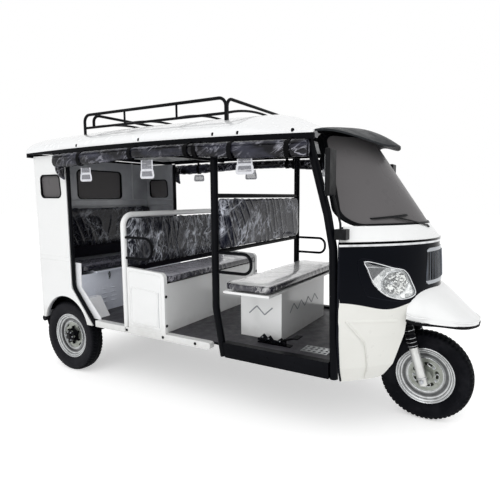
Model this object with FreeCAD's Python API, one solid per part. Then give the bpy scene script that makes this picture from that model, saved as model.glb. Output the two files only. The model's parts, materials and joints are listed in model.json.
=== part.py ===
"""Electric passenger auto rickshaw: three wheels, open sides, three benches, raked telescopic fork.

Everything is drawn in millimetres from the rear axle's line on the floor: +X runs forward, +Y to the
vehicle's left, +Z up.  save() then moves the origin to the middle of the vehicle's length.
"""
import FreeCAD, Part
import math
import os

V = FreeCAD.Vector

# Whole vehicle
WHEELBASE = 2480
FRONT_REACH = 272
REAR_REACH = 322
HALF_WIDTH = 570
ROOF_HALF_WIDTH = 600
SEAT_GAP = 0.3
OVERRUN = 40

# Wheels and tyres
TYRE_RADIUS = 265
TYRE_WIDTH = 105
RIM_FLANGE_RADIUS = 165
RIM_SEAT_RADIUS = 152
RIM_WELL_RADIUS = 128
RIM_SHEET = 5
FLANGE_SHARE = 0.64
WHEEL_DISC_SHEET = 7
REAR_TRACK = 1002
HUB_RADIUS = 44
HUB_BORE_RADIUS = 12
KIDNEY_COUNT = 5
KIDNEY_RADIUS = 66
KIDNEY_WIDTH = 20
KIDNEY_SWEEP_SHARE = 0.34
FRONT_HUB_HALF = 58

# Chassis under the floor
RAIL_SPREAD = 330
RAIL_WIDTH = 40
RAIL_HEIGHT = 45
RAIL_TOP = 385
JOIST = 36
FLOOR_TOP = 430
FLOOR_SHEET = 4
MAT_SHEET = 6
SILL_BOTTOM = 391
SILL_TOP = 434
FRONT_SILL_BOTTOM = 366
FRONT_SILL_TOP = 454

# Rear axle and springs
AXLE_TUBE_RADIUS = 28
DIFF_RADIUS = 85
DIFF_WIDTH = 120
DRUM_RADIUS = 95
DRUM_WIDTH = 42
MOTOR_RADIUS = 85
MOTOR_LENGTH = 210
LEAF_WIDTH = 45
LEAF_THICKNESS = 6
LEAF_COUNT = 4
SPRING_HALF_LENGTH = 240

# Rear body, distances from the rear axle
REAR_FACE = 265
WALL = 28
REAR_PANEL_FRONT = 85
REAR_PANEL_KNEE_HEIGHT = 646
REAR_PANEL_FOOT = 288
REAR_PANEL_FOOT_HEIGHT = 401
BODY_TOP = 1600
ARCH_RADIUS = 240
ARCH_HEIGHT = 336
SIDE_WINDOW_BACK = -200
SIDE_WINDOW_FRONT = 34
SIDE_WINDOW_LOW = 1295
SIDE_WINDOW_HIGH = 1466
REAR_WINDOW_HALF = 232
REAR_WINDOW_LOW = 1285
REAR_WINDOW_HIGH = 1527
WINDOW_CORNER = 38
SEAL_WIDTH = 10
SEAL_DEPTH = 34
GLASS_SHEET = 5
HOUSING_WIDTH = 118
HOUSING_SHEET = 5
LINER_TOP = 830
LINER_FRONT = 163
LINER_KNEE_HEIGHT = 655
LINER_FOOT = 347
LINER_FOOT_HEIGHT = 454
STEP_TOP = 575
STEP_KNEE = 215
STEP_FRONT = 305

# Benches
SEAT_BOTTOM = 755
SEAT_TOP = 815
BENCH_SHEET = 5
CUSHION_HALF_WIDTH = 528
REAR_BENCH_FRONT = 160
LID_HINGE = -125
LID_BOARD = 14
HINGE_RADIUS = 6
HINGE_LENGTH = 90
HINGE_SPREAD = 250
REAR_BACK_LOW = 900
REAR_BACK_HIGH = 1222
BACK_THICKNESS = 62
MIDDLE_BENCH_BACK = 655
MIDDLE_BENCH_FRONT = 968
MIDDLE_CUSHION_FRONT = 992
MIDDLE_HOOP = 618
MIDDLE_HOOP_TOP = 1207
MIDDLE_BACK_LOW = 832
CHEEK_RISE = 30
HOOP_TUBE = 19
HOOP_BEND = 75
DRIVER_BOX_BACK = 1400
DRIVER_BOX_FRONT = 1690
DRIVER_BOX_HALF = 335
DRIVER_CUSHION_BACK = 1405
DRIVER_CUSHION_FRONT = 1712
DRIVER_BACK_LOW = 998
DRIVER_BACK_HIGH = 1300
CUSHION_ROUND = 18

# Door posts
POST_TUBE = 22
EDGE_TUBE = 13
HOOP_POST = 1363
HOOP_KNEE_HEIGHT = 656
HOOP_FOOT = 1415
POST_BEND = 90
FRONT_POST_TOP = 1955
FRONT_POST_WAIST = 2062
FRONT_POST_WAIST_HEIGHT = 1217
FRONT_POST_CHEST = 2095
FRONT_POST_CHEST_HEIGHT = 1045
FRONT_POST_FOOT = 2110
ARMREST_TUBE = 9
DRIVER_ARM_LOW = 870
DRIVER_ARM_HIGH = 985
DRIVER_ARM_REACH = 245
MIDDLE_ARM_LOW = 903
MIDDLE_ARM_HIGH = 1040
MIDDLE_ARM_REACH = 248

# Roof, visor and rack
ROOF_EDGE_HEIGHT = 1632
ROOF_ARCH = 19
ROOF_FRONT = 2000
ROOF_REAR = 300
ROOF_SHEET = 10
ROOF_CROWN = 190
ROOF_FRONT_CROWN = 82
ROOF_FALL_START = 1540
ROOF_FALL_END = 1900
TRIM_HEIGHT = 30
TRIM_THIN = 12
TRIM_WIDTH = 22
VISOR_REACH = 284
VISOR_DROP = 114
VISOR_EDGE_DROP = 330
RACK_HALF = 420
RACK_REAR = 130
RACK_FRONT = 1362
RACK_TUBE = 10
RACK_BASE_HEIGHT = 1797
RACK_RISE = 90
RACK_BEND = 50
RACK_LEG = 400
RACK_LEG_REAR = 200

# Nose: the plan of every level is one parabola, falling back by the sweep at the body's side
NOSE_SWEEP = 390
NOSE_WALL = 8
GLASS_TOP_HEIGHT = 1646
GLASS_TOP_REACH = 2125
GLASS_FOOT_HEIGHT = 1160
GLASS_FOOT_REACH = 2461.5
STRIP_HEIGHT = 1060
STRIP_REACH = 2521
STRIP_BAND = 23
BAND_MIDDLE_HEIGHT = 943
BAND_MIDDLE_REACH = 2530
BAND_FOOT_HEIGHT = 777
BAND_FOOT_REACH = 2539
BAND_LOW_HEIGHT = 731
CORNER_MIDDLE_HEIGHT = 586
CORNER_MIDDLE_REACH = 2515
CORNER_LOW_HEIGHT = 417
CORNER_LOW_REACH = 2481
CORNER_FOOT_HEIGHT = 338
CORNER_FOOT_REACH = 2441
WELL_HALF = 297
WINDSCREEN_FOOT_HALF = 530
WINDSCREEN_TOP_HALF = 376
WINDSCREEN_CORNER = 70
FRAME_WIDTH = 10
GRILLE_HALF = 193
GRILLE_TOP_HALF = 172
GRILLE_LOW = 838
GRILLE_HIGH = 1034
GRILLE_LIP = 20
SLAT_COUNT = 13
SLAT_WIDTH = 9
LAMP_MIDDLE = 381.5
LAMP_HALF_WIDTH = 106.5
LAMP_HEIGHT = 883
LAMP_HALF_HEIGHT = 103
LENS_PROUD = 6
LENS_SHEET = 4
FENDER_SHEET = 7
FENDER_ROOT_HALF = 316
FENDER_ROOT_HEIGHT = 850
FENDER_EDGE_HEIGHT = 667
FENDER_TIP_HEIGHT = 618
FENDER_SKIRT = 20
DASH_DEPTH = 70
MIRROR_HEIGHT = 226
MIRROR_WIDTH = 95
MIRROR_DEPTH = 26
MIRROR_REACH = 2112
MIRROR_LOW = 1312
MIRROR_BLOCK_LOW = 1098
MIRROR_BLOCK_HIGH = 1150
MIRROR_BLOCK_LENGTH = 60
MIRROR_ELBOW_HEIGHT = 1180
WIPER_PIVOT = 70
WIPER_PIVOT_HEIGHT = 1149
WIPER_RADIUS = 9
BLADE_OUTER = 400
BLADE_INNER = 200
BLADE_HEIGHT = 1196
BLADE_RISE = 15

# Curtains rolled up under the roof's edge
ROLL_HALF_WIDTH = 30
ROLL_DEPTH = 104
ROLL_REAR = 60
ROLL_FRONT = 1990

# Rear lamps and number plate
TAIL_LAMP_DEPTH = 30
TAIL_LAMP_WIDTH = 90
TAIL_LAMP_HIGH = 170
TAIL_LAMP_LOW = 700
PLATE_LOW = 540
PLATE_HIGH = 110
PLATE_HALF = 170
PLATE_HOLE = 110
PLATE_HOLE_RADIUS = 3.5
PLATE_HOLE_DROP = 16

# Steering, fork and foot controls, distances along the raked steering axis from the front axle
RAKE = 17
FORK_SPREAD = 104
SLIDER_RADIUS = 26
SLIDER_LENGTH = 195
FORK_BOOT_RADIUS = 27
FORK_BOOT_TOP_RADIUS = 33
YOKE_START = 398
YOKE_THICKNESS = 30
HEAD_START = 440
HEAD_LENGTH = 190
HEAD_RADIUS = 32
NECK_TUBE = 20
NECK_KNEE_SPREAD = 250
STEM_RADIUS = 18
BAR_START = 800
BAR_TUBE = 11
BAR_HALF = 290
BAR_SWEEP = 150
GRIP_RADIUS = 17
GRIP_LENGTH = 115
AXLE_BOLT_RADIUS = 9
PEDAL_BACK = 1570
PEDAL_FRONT = 1790
PEDAL_SIDE = 400
PEDAL_WIDTH = 36
PEDAL_RISE = 60
DRAIN_BACK = 1860
DRAIN_FRONT = 2020
DRAIN_SIDE = 380
DRAIN_WIDTH = 100
DRAIN_SHEET = 3

HOUSING_FACE = HALF_WIDTH - WALL - HOUSING_WIDTH
FLOOR_HALF = HALF_WIDTH - POST_TUBE * 2 - SEAT_GAP
TOE_BOARD = FRONT_POST_FOOT + POST_TUBE * 2
NECK_FOOT = TOE_BOARD + FLOOR_SHEET + NECK_TUBE + MAT_SHEET
ROOF_MIDDLE = (ROOF_FRONT - ROOF_REAR) / 2
ORIGIN_X = (WHEELBASE + FRONT_REACH - REAR_REACH) / 2


def save(name, *shapes):
    """Write one node, moved so that the origin lies under the middle of the vehicle's length."""
    shape = shapes[0] if len(shapes) == 1 else Part.makeCompound(list(shapes))
    shape = shape.copy()
    shape.translate(V(-ORIGIN_X, 0, 0))
    shape.exportStep("parts/" + name + ".step")


def both_sides(shape):
    """The shape and its mirror image on the other side of the vehicle."""
    return [shape, shape.mirror(V(0, 0, 0), V(0, 1, 0))]


def block(x0, x1, y0, y1, z0, z1):
    return Part.makeBox(x1 - x0, y1 - y0, z1 - z0, V(x0, y0, z0))


def corner_arc(before, corner, after, radius):
    """Tangent arc of a radius at a corner: its first, middle and last point."""
    back = (before - corner).normalize()
    ahead = (after - corner).normalize()
    half = back.getAngle(ahead) / 2
    reach = radius / math.tan(half)
    bisector = (back + ahead).normalize()
    middle = corner + bisector * (radius / math.sin(half) - radius)
    return corner + back * reach, middle, corner + ahead * reach


def rounded_wire(points, radius, closed):
    """Straight runs through the points, each corner rounded by a tangent arc.

    The radius is one value for all corners, or a list with one value per point (0 keeps it sharp)."""
    count = len(points)
    radii = radius if isinstance(radius, list) else [radius] * count
    edges = []
    cursor = None if closed else points[0]
    first = None
    inner = range(count) if closed else range(1, count - 1)
    for i in inner:
        before, corner, after = points[i - 1], points[i], points[(i + 1) % count]
        straight = back_is_straight(before, corner, after)
        if radii[i] and not straight:
            start, middle, end = corner_arc(before, corner, after, radii[i])
        else:
            start, middle, end = corner, None, corner
        if cursor is not None and (start - cursor).Length > Part.Precision.confusion():
            edges.append(Part.LineSegment(cursor, start).toShape())
        if middle is not None:
            edges.append(Part.Arc(start, middle, end).toShape())
        if first is None:
            first = start
        cursor = end
    last = first if closed else points[-1]
    if (last - cursor).Length > Part.Precision.confusion():
        edges.append(Part.LineSegment(cursor, last).toShape())
    return Part.Wire(edges)


def back_is_straight(before, corner, after):
    """True where three points lie on one line, so that the corner needs no arc."""
    turn = (corner - before).cross(after - corner).Length
    return turn < Part.Precision.confusion() * (after - before).Length


def plate_xz(points, radius, y0, y1):
    """Plate cut to an outline of (x, z) points, from y0 to y1."""
    wire = rounded_wire([V(x, y0, z) for x, z in points], radius, True)
    return Part.Face(wire).extrude(V(0, y1 - y0, 0))


def plate_yz(points, radius, x0, x1):
    """Plate cut to an outline of (y, z) points, from x0 to x1."""
    wire = rounded_wire([V(x0, y, z) for y, z in points], radius, True)
    return Part.Face(wire).extrude(V(x1 - x0, 0, 0))


def plate_xy(points, radius, z0, z1):
    """Plate cut to an outline of (x, y) points, from z0 to z1."""
    wire = rounded_wire([V(x, y, z0) for x, y in points], radius, True)
    return Part.Face(wire).extrude(V(0, 0, z1 - z0))


def rectangle(a0, a1, b0, b1):
    return [(a0, b0), (a1, b0), (a1, b1), (a0, b1)]


def tube(points, radius, bend):
    """Round bar bent through the points, every bend of one radius."""
    path = rounded_wire(points, bend, False)
    start = points[1] - points[0]
    section = Part.Wire(Part.makeCircle(radius, points[0], start))
    return path.makePipeShell([section], True, False)


def rod(start, end, radius):
    return Part.makeCylinder(radius, (end - start).Length, start, end - start)


def fused(shapes):
    body = shapes[0].multiFuse(shapes[1:]) if len(shapes) > 1 else shapes[0]
    return body.removeSplitter()


def softened(shape, radius):
    """Closed pad with every edge rounded."""
    return shape.makeFillet(radius, shape.Edges)


def steering_point(along, across=0, ahead=0):
    """Point measured along the raked steering axis from the front axle, then across and ahead of it."""
    rake = math.radians(RAKE)
    x = WHEELBASE - along * math.sin(rake) + ahead * math.cos(rake)
    z = TYRE_RADIUS + along * math.cos(rake) + ahead * math.sin(rake)
    return V(x, across, z)


def revolve_wheel(profile, x, y):
    """Turn an outline of (radius, width) points round a wheel's axle at x, y."""
    wire = Part.makePolygon([V(x, y + w, TYRE_RADIUS + r) for r, w in profile + profile[:1]])
    return Part.Face(wire).revolve(V(x, y, TYRE_RADIUS), V(0, 1, 0), 360)


def tyre(x, y):
    """Cross-ply tyre as a solid ring: beads, sidewalls, shoulders and crown."""
    half = TYRE_WIDTH / 2
    bead = RIM_SEAT_RADIUS + SEAT_GAP
    flange = RIM_FLANGE_RADIUS + SEAT_GAP
    wall_share, shoulder_share, crown_share, wide_share = 0.93, 0.80, 0.55, 0.52
    foot = half * FLANGE_SHARE - RIM_SHEET - SEAT_GAP
    shoulder = RIM_FLANGE_RADIUS + (TYRE_RADIUS - RIM_FLANGE_RADIUS) * wall_share
    widest = RIM_FLANGE_RADIUS + (TYRE_RADIUS - RIM_FLANGE_RADIUS) * wide_share
    right = [(bead, foot), (flange, foot), (widest, half), (shoulder, half * shoulder_share),
             (TYRE_RADIUS, half * crown_share)]
    left = [(r, -w) for r, w in reversed(right)]
    return revolve_wheel(right + left, x, y)


def rim(x, y, outboard):
    """Pressed steel rim: two flanges, two bead seats and the well between, all one sheet thick."""
    half = TYRE_WIDTH / 2
    seat_share, well_share = 0.42, 0.34
    outer = [(RIM_FLANGE_RADIUS, half * FLANGE_SHARE), (RIM_SEAT_RADIUS, half * FLANGE_SHARE - RIM_SHEET),
             (RIM_SEAT_RADIUS, half * seat_share), (RIM_WELL_RADIUS, half * well_share)]
    outer += [(r, -w) for r, w in reversed(outer)]
    inner = [(r - RIM_SHEET, w) for r, w in outer]
    return revolve_wheel(outer + inner[::-1], x, y)


def wheel_disc(x, y, side):
    """Dished disc between the rim's well and the hub."""
    well = RIM_WELL_RADIUS - RIM_SHEET
    dish_share, rise_share = 0.78, 0.05
    dish = TYRE_WIDTH * rise_share * side
    sheet = WHEEL_DISC_SHEET * side
    overlap = RIM_SHEET / 2
    profile = [(HUB_BORE_RADIUS, 0), (well * dish_share, 0), (well + overlap, dish),
               (well + overlap, dish + sheet), (well * dish_share, sheet), (HUB_BORE_RADIUS, sheet)]
    return revolve_wheel(profile, x, y)


def kidneys(x, y):
    """Cutters for the ring of curved openings in the front wheel's disc, each swept round the axle."""
    sweep = 360 * KIDNEY_SWEEP_SHARE / KIDNEY_COUNT
    half, deep = KIDNEY_WIDTH / 2, WHEEL_DISC_SHEET * 2
    outline = [(KIDNEY_RADIUS - half, -deep), (KIDNEY_RADIUS + half, -deep), (KIDNEY_RADIUS + half, deep), (KIDNEY_RADIUS - half, deep)]
    wire = Part.makePolygon([V(x, y + w, TYRE_RADIUS + r) for r, w in outline + outline[:1]])
    axle, across = V(x, y, TYRE_RADIUS), V(0, 1, 0)
    slot = Part.Face(wire).revolve(axle, across, sweep)
    end = Part.makeCylinder(half, deep * 2, V(x, y - deep, TYRE_RADIUS + KIDNEY_RADIUS), across)
    far_end = end.copy()
    far_end.rotate(axle, across, sweep)
    cutters = []
    for i in range(KIDNEY_COUNT):
        for piece in (slot, end, far_end):
            turned = piece.copy()
            turned.rotate(axle, across, 360 * i / KIDNEY_COUNT)
            cutters.append(turned)
    return cutters


def ring_y(x, y0, y1, radius, bore=0):
    """Round boss lying across the vehicle on an axle's line, with its bore."""
    boss = Part.makeCylinder(radius, y1 - y0, V(x, y0, TYRE_RADIUS), V(0, 1, 0))
    if bore:
        boss = boss.cut(Part.makeCylinder(bore, y1 - y0, V(x, y0, TYRE_RADIUS), V(0, 1, 0)))
    return boss


def rear_wheels():
    """Two rear wheels: tyre, and rim with its plain disc and the hub."""
    for name, side in (("right", -1), ("left", 1)):
        y = side * REAR_TRACK / 2
        save("rear_tyre_" + name, tyre(0, y))
        disc = wheel_disc(0, y, side)
        faces = sorted((y - side * DRUM_WIDTH / 4, y + side * DRUM_WIDTH))
        hub = ring_y(0, faces[0], faces[1], HUB_RADIUS)
        save("rear_wheel_" + name, fused([rim(0, y, side), disc, hub]))


def front_wheel():
    """Front wheel: tyre, and rim with an opened disc on a spool hub bored for the axle."""
    save("front_tyre", tyre(WHEELBASE, 0))
    disc = wheel_disc(WHEELBASE, 0, -1).cut(kidneys(WHEELBASE, 0))
    hub = ring_y(WHEELBASE, -FRONT_HUB_HALF, FRONT_HUB_HALF, HUB_RADIUS)
    body = fused([rim(WHEELBASE, 0, -1), disc, hub])
    bore = ring_y(WHEELBASE, -FRONT_HUB_HALF, FRONT_HUB_HALF, AXLE_BOLT_RADIUS + SEAT_GAP)
    save("front_wheel", body.cut(bore))


def rear_axle():
    """Beam axle with its differential, brake drums, motor and leaf springs."""
    drum_face = REAR_TRACK / 2 - DRUM_WIDTH / 4 - SEAT_GAP
    beam = ring_y(0, -drum_face, drum_face, AXLE_TUBE_RADIUS)
    casing = ring_y(0, -DIFF_WIDTH / 2, DIFF_WIDTH / 2, DIFF_RADIUS)
    drums = [ring_y(0, drum_face - DRUM_WIDTH, drum_face, DRUM_RADIUS)]
    drums += both_sides(drums[0])[1:]
    motor = Part.makeCylinder(MOTOR_RADIUS, MOTOR_LENGTH, V(0, 0, TYRE_RADIUS), V(1, 0, 0))
    save("rear_axle", fused([beam, casing, motor] + drums + springs()))


def springs():
    """Two packs of leaves lying on the axle under the rails, each leaf shorter than the one above."""
    leaves = []
    top = RAIL_TOP - RAIL_HEIGHT
    seat = top - LEAF_THICKNESS * LEAF_COUNT
    for i in range(LEAF_COUNT):
        half = SPRING_HALF_LENGTH * (i + 1) / LEAF_COUNT
        z = seat + LEAF_THICKNESS * i
        low = RAIL_SPREAD - LEAF_WIDTH / 2
        leaves.append(block(-half, half, low, low + LEAF_WIDTH, z, z + LEAF_THICKNESS))
    low = RAIL_SPREAD - LEAF_WIDTH / 2
    saddle = block(-LEAF_WIDTH, LEAF_WIDTH, low, low + LEAF_WIDTH, TYRE_RADIUS, seat)
    pack = fused(leaves + [saddle])
    return both_sides(pack)


def chassis_frame():
    """Ladder frame: two rails, cross joists, and the bent arms that carry the steering head."""
    back = -REAR_FACE + WALL
    front = FRONT_POST_FOOT - POST_TUBE
    low = RAIL_SPREAD - RAIL_WIDTH / 2
    rail = block(back, NECK_FOOT + NECK_TUBE, low, low + RAIL_WIDTH, RAIL_TOP - RAIL_HEIGHT, RAIL_TOP)
    half = FLOOR_HALF - SEAT_GAP
    joists = []
    stations = [back, REAR_PANEL_FOOT, MIDDLE_HOOP, MIDDLE_BENCH_FRONT, HOOP_FOOT, DRIVER_BOX_FRONT,
                front - JOIST]
    for x in stations:
        reach = half if x >= REAR_PANEL_FOOT else RAIL_SPREAD
        joists.append(block(x, x + JOIST, -reach, reach, RAIL_TOP, FLOOR_TOP - FLOOR_SHEET))
    head = rod(steering_point(HEAD_START), steering_point(HEAD_START + HEAD_LENGTH), HEAD_RADIUS)
    lift_share = 0.5
    heart = steering_point(HEAD_START + HEAD_LENGTH * lift_share)
    points = [V(NECK_FOOT, RAIL_SPREAD, RAIL_TOP - RAIL_HEIGHT / 2), V(NECK_FOOT, NECK_KNEE_SPREAD, heart.z), heart]
    arms = both_sides(tube(points, NECK_TUBE, NECK_TUBE * 3))
    bore = rod(steering_point(0), steering_point(BAR_START), STEM_RADIUS + SEAT_GAP)
    body = fused(both_sides(rail) + joists + [head] + arms).cut(bore)
    save("chassis_frame", body)


def floor():
    """Pressed floor pan, rubber mat, and the sills along both sides."""
    back = REAR_BENCH_FRONT
    front = TOE_BOARD
    half = FLOOR_HALF
    pan = block(-REAR_FACE + WALL, front, -half, half, FLOOR_TOP - FLOOR_SHEET, FLOOR_TOP)
    arch = both_sides(block(-REAR_FACE, ARCH_RADIUS, HOUSING_FACE + HOUSING_SHEET, HALF_WIDTH,
                            FLOOR_TOP - FLOOR_SHEET, FLOOR_TOP + MAT_SHEET))
    plan = nose_curve(CORNER_LOW_REACH - NOSE_WALL - SEAT_GAP, FLOOR_TOP - FLOOR_SHEET)
    chord = Part.LineSegment(plan.Vertexes[1].Point, plan.Vertexes[0].Point).toShape()
    ahead = Part.Face(Part.Wire([plan, chord])).extrude(V(0, 0, FLOOR_SHEET + MAT_SHEET))
    behind = block(-REAR_FACE, CORNER_LOW_REACH - NOSE_SWEEP - NOSE_WALL - SEAT_GAP, -half, half,
                   FLOOR_TOP - FLOOR_SHEET, FLOOR_TOP + MAT_SHEET)
    footprint = ahead.fuse(behind)
    save("floor_pan", pan.common(footprint).cut(arch))
    hoops = both_sides(rod(V(MIDDLE_HOOP, HALF_WIDTH - HOOP_TUBE, SILL_BOTTOM),
                           V(MIDDLE_HOOP, HALF_WIDTH - HOOP_TUBE, FLOOR_TOP + MAT_SHEET * 2),
                           HOOP_TUBE + SEAT_GAP))
    mat = block(back, front - MAT_SHEET, -half, half, FLOOR_TOP, FLOOR_TOP + MAT_SHEET)
    save("floor_mat", mat.common(footprint).cut(hoops + arch))
    sill_end = HOOP_FOOT - POST_TUBE * 4
    outline = rectangle(REAR_PANEL_FOOT + 2 * edge_lean() + SEAT_GAP, sill_end, SILL_BOTTOM, SILL_TOP)
    nose_share = 0.4
    rounding = (SILL_TOP - SILL_BOTTOM) * nose_share
    sill = plate_xz(outline, [0, rounding, rounding, 0], half, HALF_WIDTH)
    save("side_sills", *[s.cut(hoops) for s in both_sides(sill)])
    rise = FRONT_SILL_TOP - FRONT_SILL_BOTTOM
    back_lean = (HOOP_FOOT - HOOP_POST) / (HOOP_KNEE_HEIGHT - FRONT_SILL_BOTTOM) * rise
    front_lean = (FRONT_POST_FOOT - FRONT_POST_CHEST) / (FRONT_POST_CHEST_HEIGHT - FRONT_SILL_BOTTOM) * rise
    start = HOOP_FOOT + POST_TUBE + SEAT_GAP * 2
    end = FRONT_POST_FOOT - POST_TUBE - SEAT_GAP
    front_outline = [(start, FRONT_SILL_BOTTOM), (end, FRONT_SILL_BOTTOM),
                     (end - front_lean, FRONT_SILL_TOP), (start - back_lean, FRONT_SILL_TOP)]
    front_sill = plate_xz(front_outline, 0, half, HALF_WIDTH)
    save("front_sills", *both_sides(front_sill))


def side_window(grow):
    """Rounded window outline in a rear side panel, grown by an amount all round."""
    lean_share = 0.06
    width = SIDE_WINDOW_FRONT - SIDE_WINDOW_BACK
    lean = width * lean_share
    return [(SIDE_WINDOW_BACK - grow, SIDE_WINDOW_LOW - grow), (SIDE_WINDOW_FRONT + grow, SIDE_WINDOW_LOW - grow),
            (SIDE_WINDOW_FRONT - lean + grow, SIDE_WINDOW_HIGH + grow),
            (SIDE_WINDOW_BACK + grow * 0, SIDE_WINDOW_HIGH + grow)]


def rear_window(grow):
    half = REAR_WINDOW_HALF + grow
    return rectangle(-half, half, REAR_WINDOW_LOW - grow, REAR_WINDOW_HIGH + grow)


def rear_body():
    """Rear side panels with wheel arches, rear wall, windows and inner wheel housings."""
    inner = HALF_WIDTH - WALL
    outline = [(-REAR_FACE, SILL_BOTTOM), (REAR_PANEL_FOOT, SILL_BOTTOM),
               (REAR_PANEL_FOOT, REAR_PANEL_FOOT_HEIGHT), (REAR_PANEL_FRONT, REAR_PANEL_KNEE_HEIGHT),
               (REAR_PANEL_FRONT, BODY_TOP), (-REAR_FACE, BODY_TOP)]
    panel = plate_xz(outline, 0, inner, HALF_WIDTH)
    arch = Part.makeCylinder(ARCH_RADIUS, WALL * 2, V(0, inner - WALL / 2, ARCH_HEIGHT), V(0, 1, 0))
    window = plate_xz(side_window(0), WINDOW_CORNER, inner - OVERRUN, HALF_WIDTH + OVERRUN)
    left = panel.cut([arch, window])
    right = both_sides(left)[1]
    save("rear_side_panel_left", left)
    save("rear_side_panel_right", right)
    wall = block(-REAR_FACE, -REAR_FACE + WALL, -inner, inner, SILL_BOTTOM, BODY_TOP)
    hole = plate_yz(rear_window(0), WINDOW_CORNER, -REAR_FACE - OVERRUN, -REAR_FACE + OVERRUN)
    save("rear_wall", wall.cut(hole))
    wheel_housings(inner)


def windows():
    """Flat panes in rubber seals, in the side panels and in the rear wall."""
    middle = HALF_WIDTH - WALL / 2
    gap = SEAT_GAP
    inset = SEAL_WIDTH
    pane = plate_xz(side_window(-inset - gap), WINDOW_CORNER - inset, middle - GLASS_SHEET / 2,
                    middle + GLASS_SHEET / 2)
    seal = plate_xz(side_window(-gap), WINDOW_CORNER, middle - SEAL_DEPTH / 2, middle + SEAL_DEPTH / 2)
    hole = plate_xz(side_window(-inset), WINDOW_CORNER - inset, middle - SEAL_DEPTH, middle + SEAL_DEPTH)
    side_seal = seal.cut(hole)
    x = -REAR_FACE + WALL / 2
    rear_pane = plate_yz(rear_window(-inset - gap), WINDOW_CORNER - inset, x - GLASS_SHEET / 2,
                         x + GLASS_SHEET / 2)
    rear_seal = plate_yz(rear_window(-gap), WINDOW_CORNER, x - SEAL_DEPTH / 2, x + SEAL_DEPTH / 2)
    rear_hole = plate_yz(rear_window(-inset), WINDOW_CORNER - inset, x - SEAL_DEPTH, x + SEAL_DEPTH)
    return both_sides(pane) + [rear_pane], both_sides(side_seal) + [rear_seal.cut(rear_hole)]


def wheel_housings(inner):
    """Sheet covers over the rear wheels inside the cabin, sloped at the front, and the liner of the doorway's edge."""
    top = SEAT_BOTTOM - LID_BOARD * 2
    back, low, sheet = -REAR_FACE + WALL + SEAT_GAP, FLOOR_TOP + MAT_SHEET + SEAT_GAP, HOUSING_SHEET
    bench = REAR_BENCH_FRONT - BENCH_SHEET - SEAT_GAP
    outline = [(back, low), (STEP_FRONT, low), (STEP_KNEE, STEP_TOP), (bench, STEP_TOP), (bench, top), (back, top)]
    hollow_outline = [(x + (sheet if x == back else -sheet), z - sheet) for x, z in outline]
    near, far = HOUSING_FACE, inner - SEAT_GAP
    shell = plate_xz(outline, 0, near, far)
    hollow = plate_xz(hollow_outline, 0, near + sheet, far + sheet)
    edge = REAR_PANEL_FOOT - (LINER_FRONT - REAR_PANEL_FRONT) / 2
    liner_outline = [(back, top - sheet), (REAR_PANEL_FRONT - sheet, top - sheet), (REAR_PANEL_FRONT - sheet, LINER_KNEE_HEIGHT),
                     (edge, low), (LINER_FOOT, low), (LINER_FOOT, LINER_FOOT_HEIGHT), (LINER_FRONT - sheet, LINER_KNEE_HEIGHT),
                     (LINER_FRONT, LINER_TOP), (back, LINER_TOP)]
    liner = plate_xz(liner_outline, 0, far - sheet, far)
    save("wheel_housings", *both_sides(fused([shell.cut(hollow), liner])))


def bench_box(x0, x1, half, top):
    """Open-topped sheet box standing on the floor mat."""
    low = FLOOR_TOP + MAT_SHEET if x0 > REAR_BENCH_FRONT else FLOOR_TOP
    outer = block(x0, x1, -half, half, low, top)
    sheet = BENCH_SHEET
    return outer.cut(block(x0 + sheet, x1 - sheet, -half + sheet, half - sheet, low + sheet, top + sheet))


def rear_bench():
    """Rear bench: box with its fixed rear board and hinges, lid, cushion, and the backrest on the wall."""
    inner = HALF_WIDTH - WALL
    half = inner - HOUSING_WIDTH - SEAT_GAP
    back = -REAR_FACE + WALL + SEAT_GAP
    top = SEAT_BOTTOM - LID_BOARD
    box = bench_box(back, REAR_BENCH_FRONT, half, top - SEAT_GAP)
    board = block(back, LID_HINGE, -half, half, top - LID_BOARD, top - SEAT_GAP)
    wide = inner - HOUSING_SHEET - SEAT_GAP * 2
    front_panel = block(REAR_BENCH_FRONT - BENCH_SHEET, REAR_BENCH_FRONT, -wide, wide, STEP_TOP + SEAT_GAP, top - SEAT_GAP)
    barrels, clearances = [], []
    for y in (-HINGE_SPREAD, HINGE_SPREAD):
        start, end = V(LID_HINGE, y - HINGE_LENGTH / 2, top), V(LID_HINGE, y + HINGE_LENGTH / 2, top)
        barrels.append(rod(start, end, HINGE_RADIUS))
        clearances.append(rod(start, end, HINGE_RADIUS + SEAT_GAP))
    save("rear_bench_box", fused([box, board, front_panel] + barrels))
    front = REAR_BENCH_FRONT + MIDDLE_CUSHION_FRONT - MIDDLE_BENCH_FRONT
    lid = block(LID_HINGE, front, -half, half, top, SEAT_BOTTOM)
    save("rear_seat_lid", lid.cut(clearances))
    cushion = block(LID_HINGE, front, -CUSHION_HALF_WIDTH, CUSHION_HALF_WIDTH, SEAT_BOTTOM + SEAT_GAP, SEAT_TOP)
    save("rear_cushion", softened(cushion, CUSHION_ROUND))
    rest = block(back, back + BACK_THICKNESS, -CUSHION_HALF_WIDTH, CUSHION_HALF_WIDTH, REAR_BACK_LOW,
                 REAR_BACK_HIGH)
    save("rear_backrest", softened(rest, CUSHION_ROUND))


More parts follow.
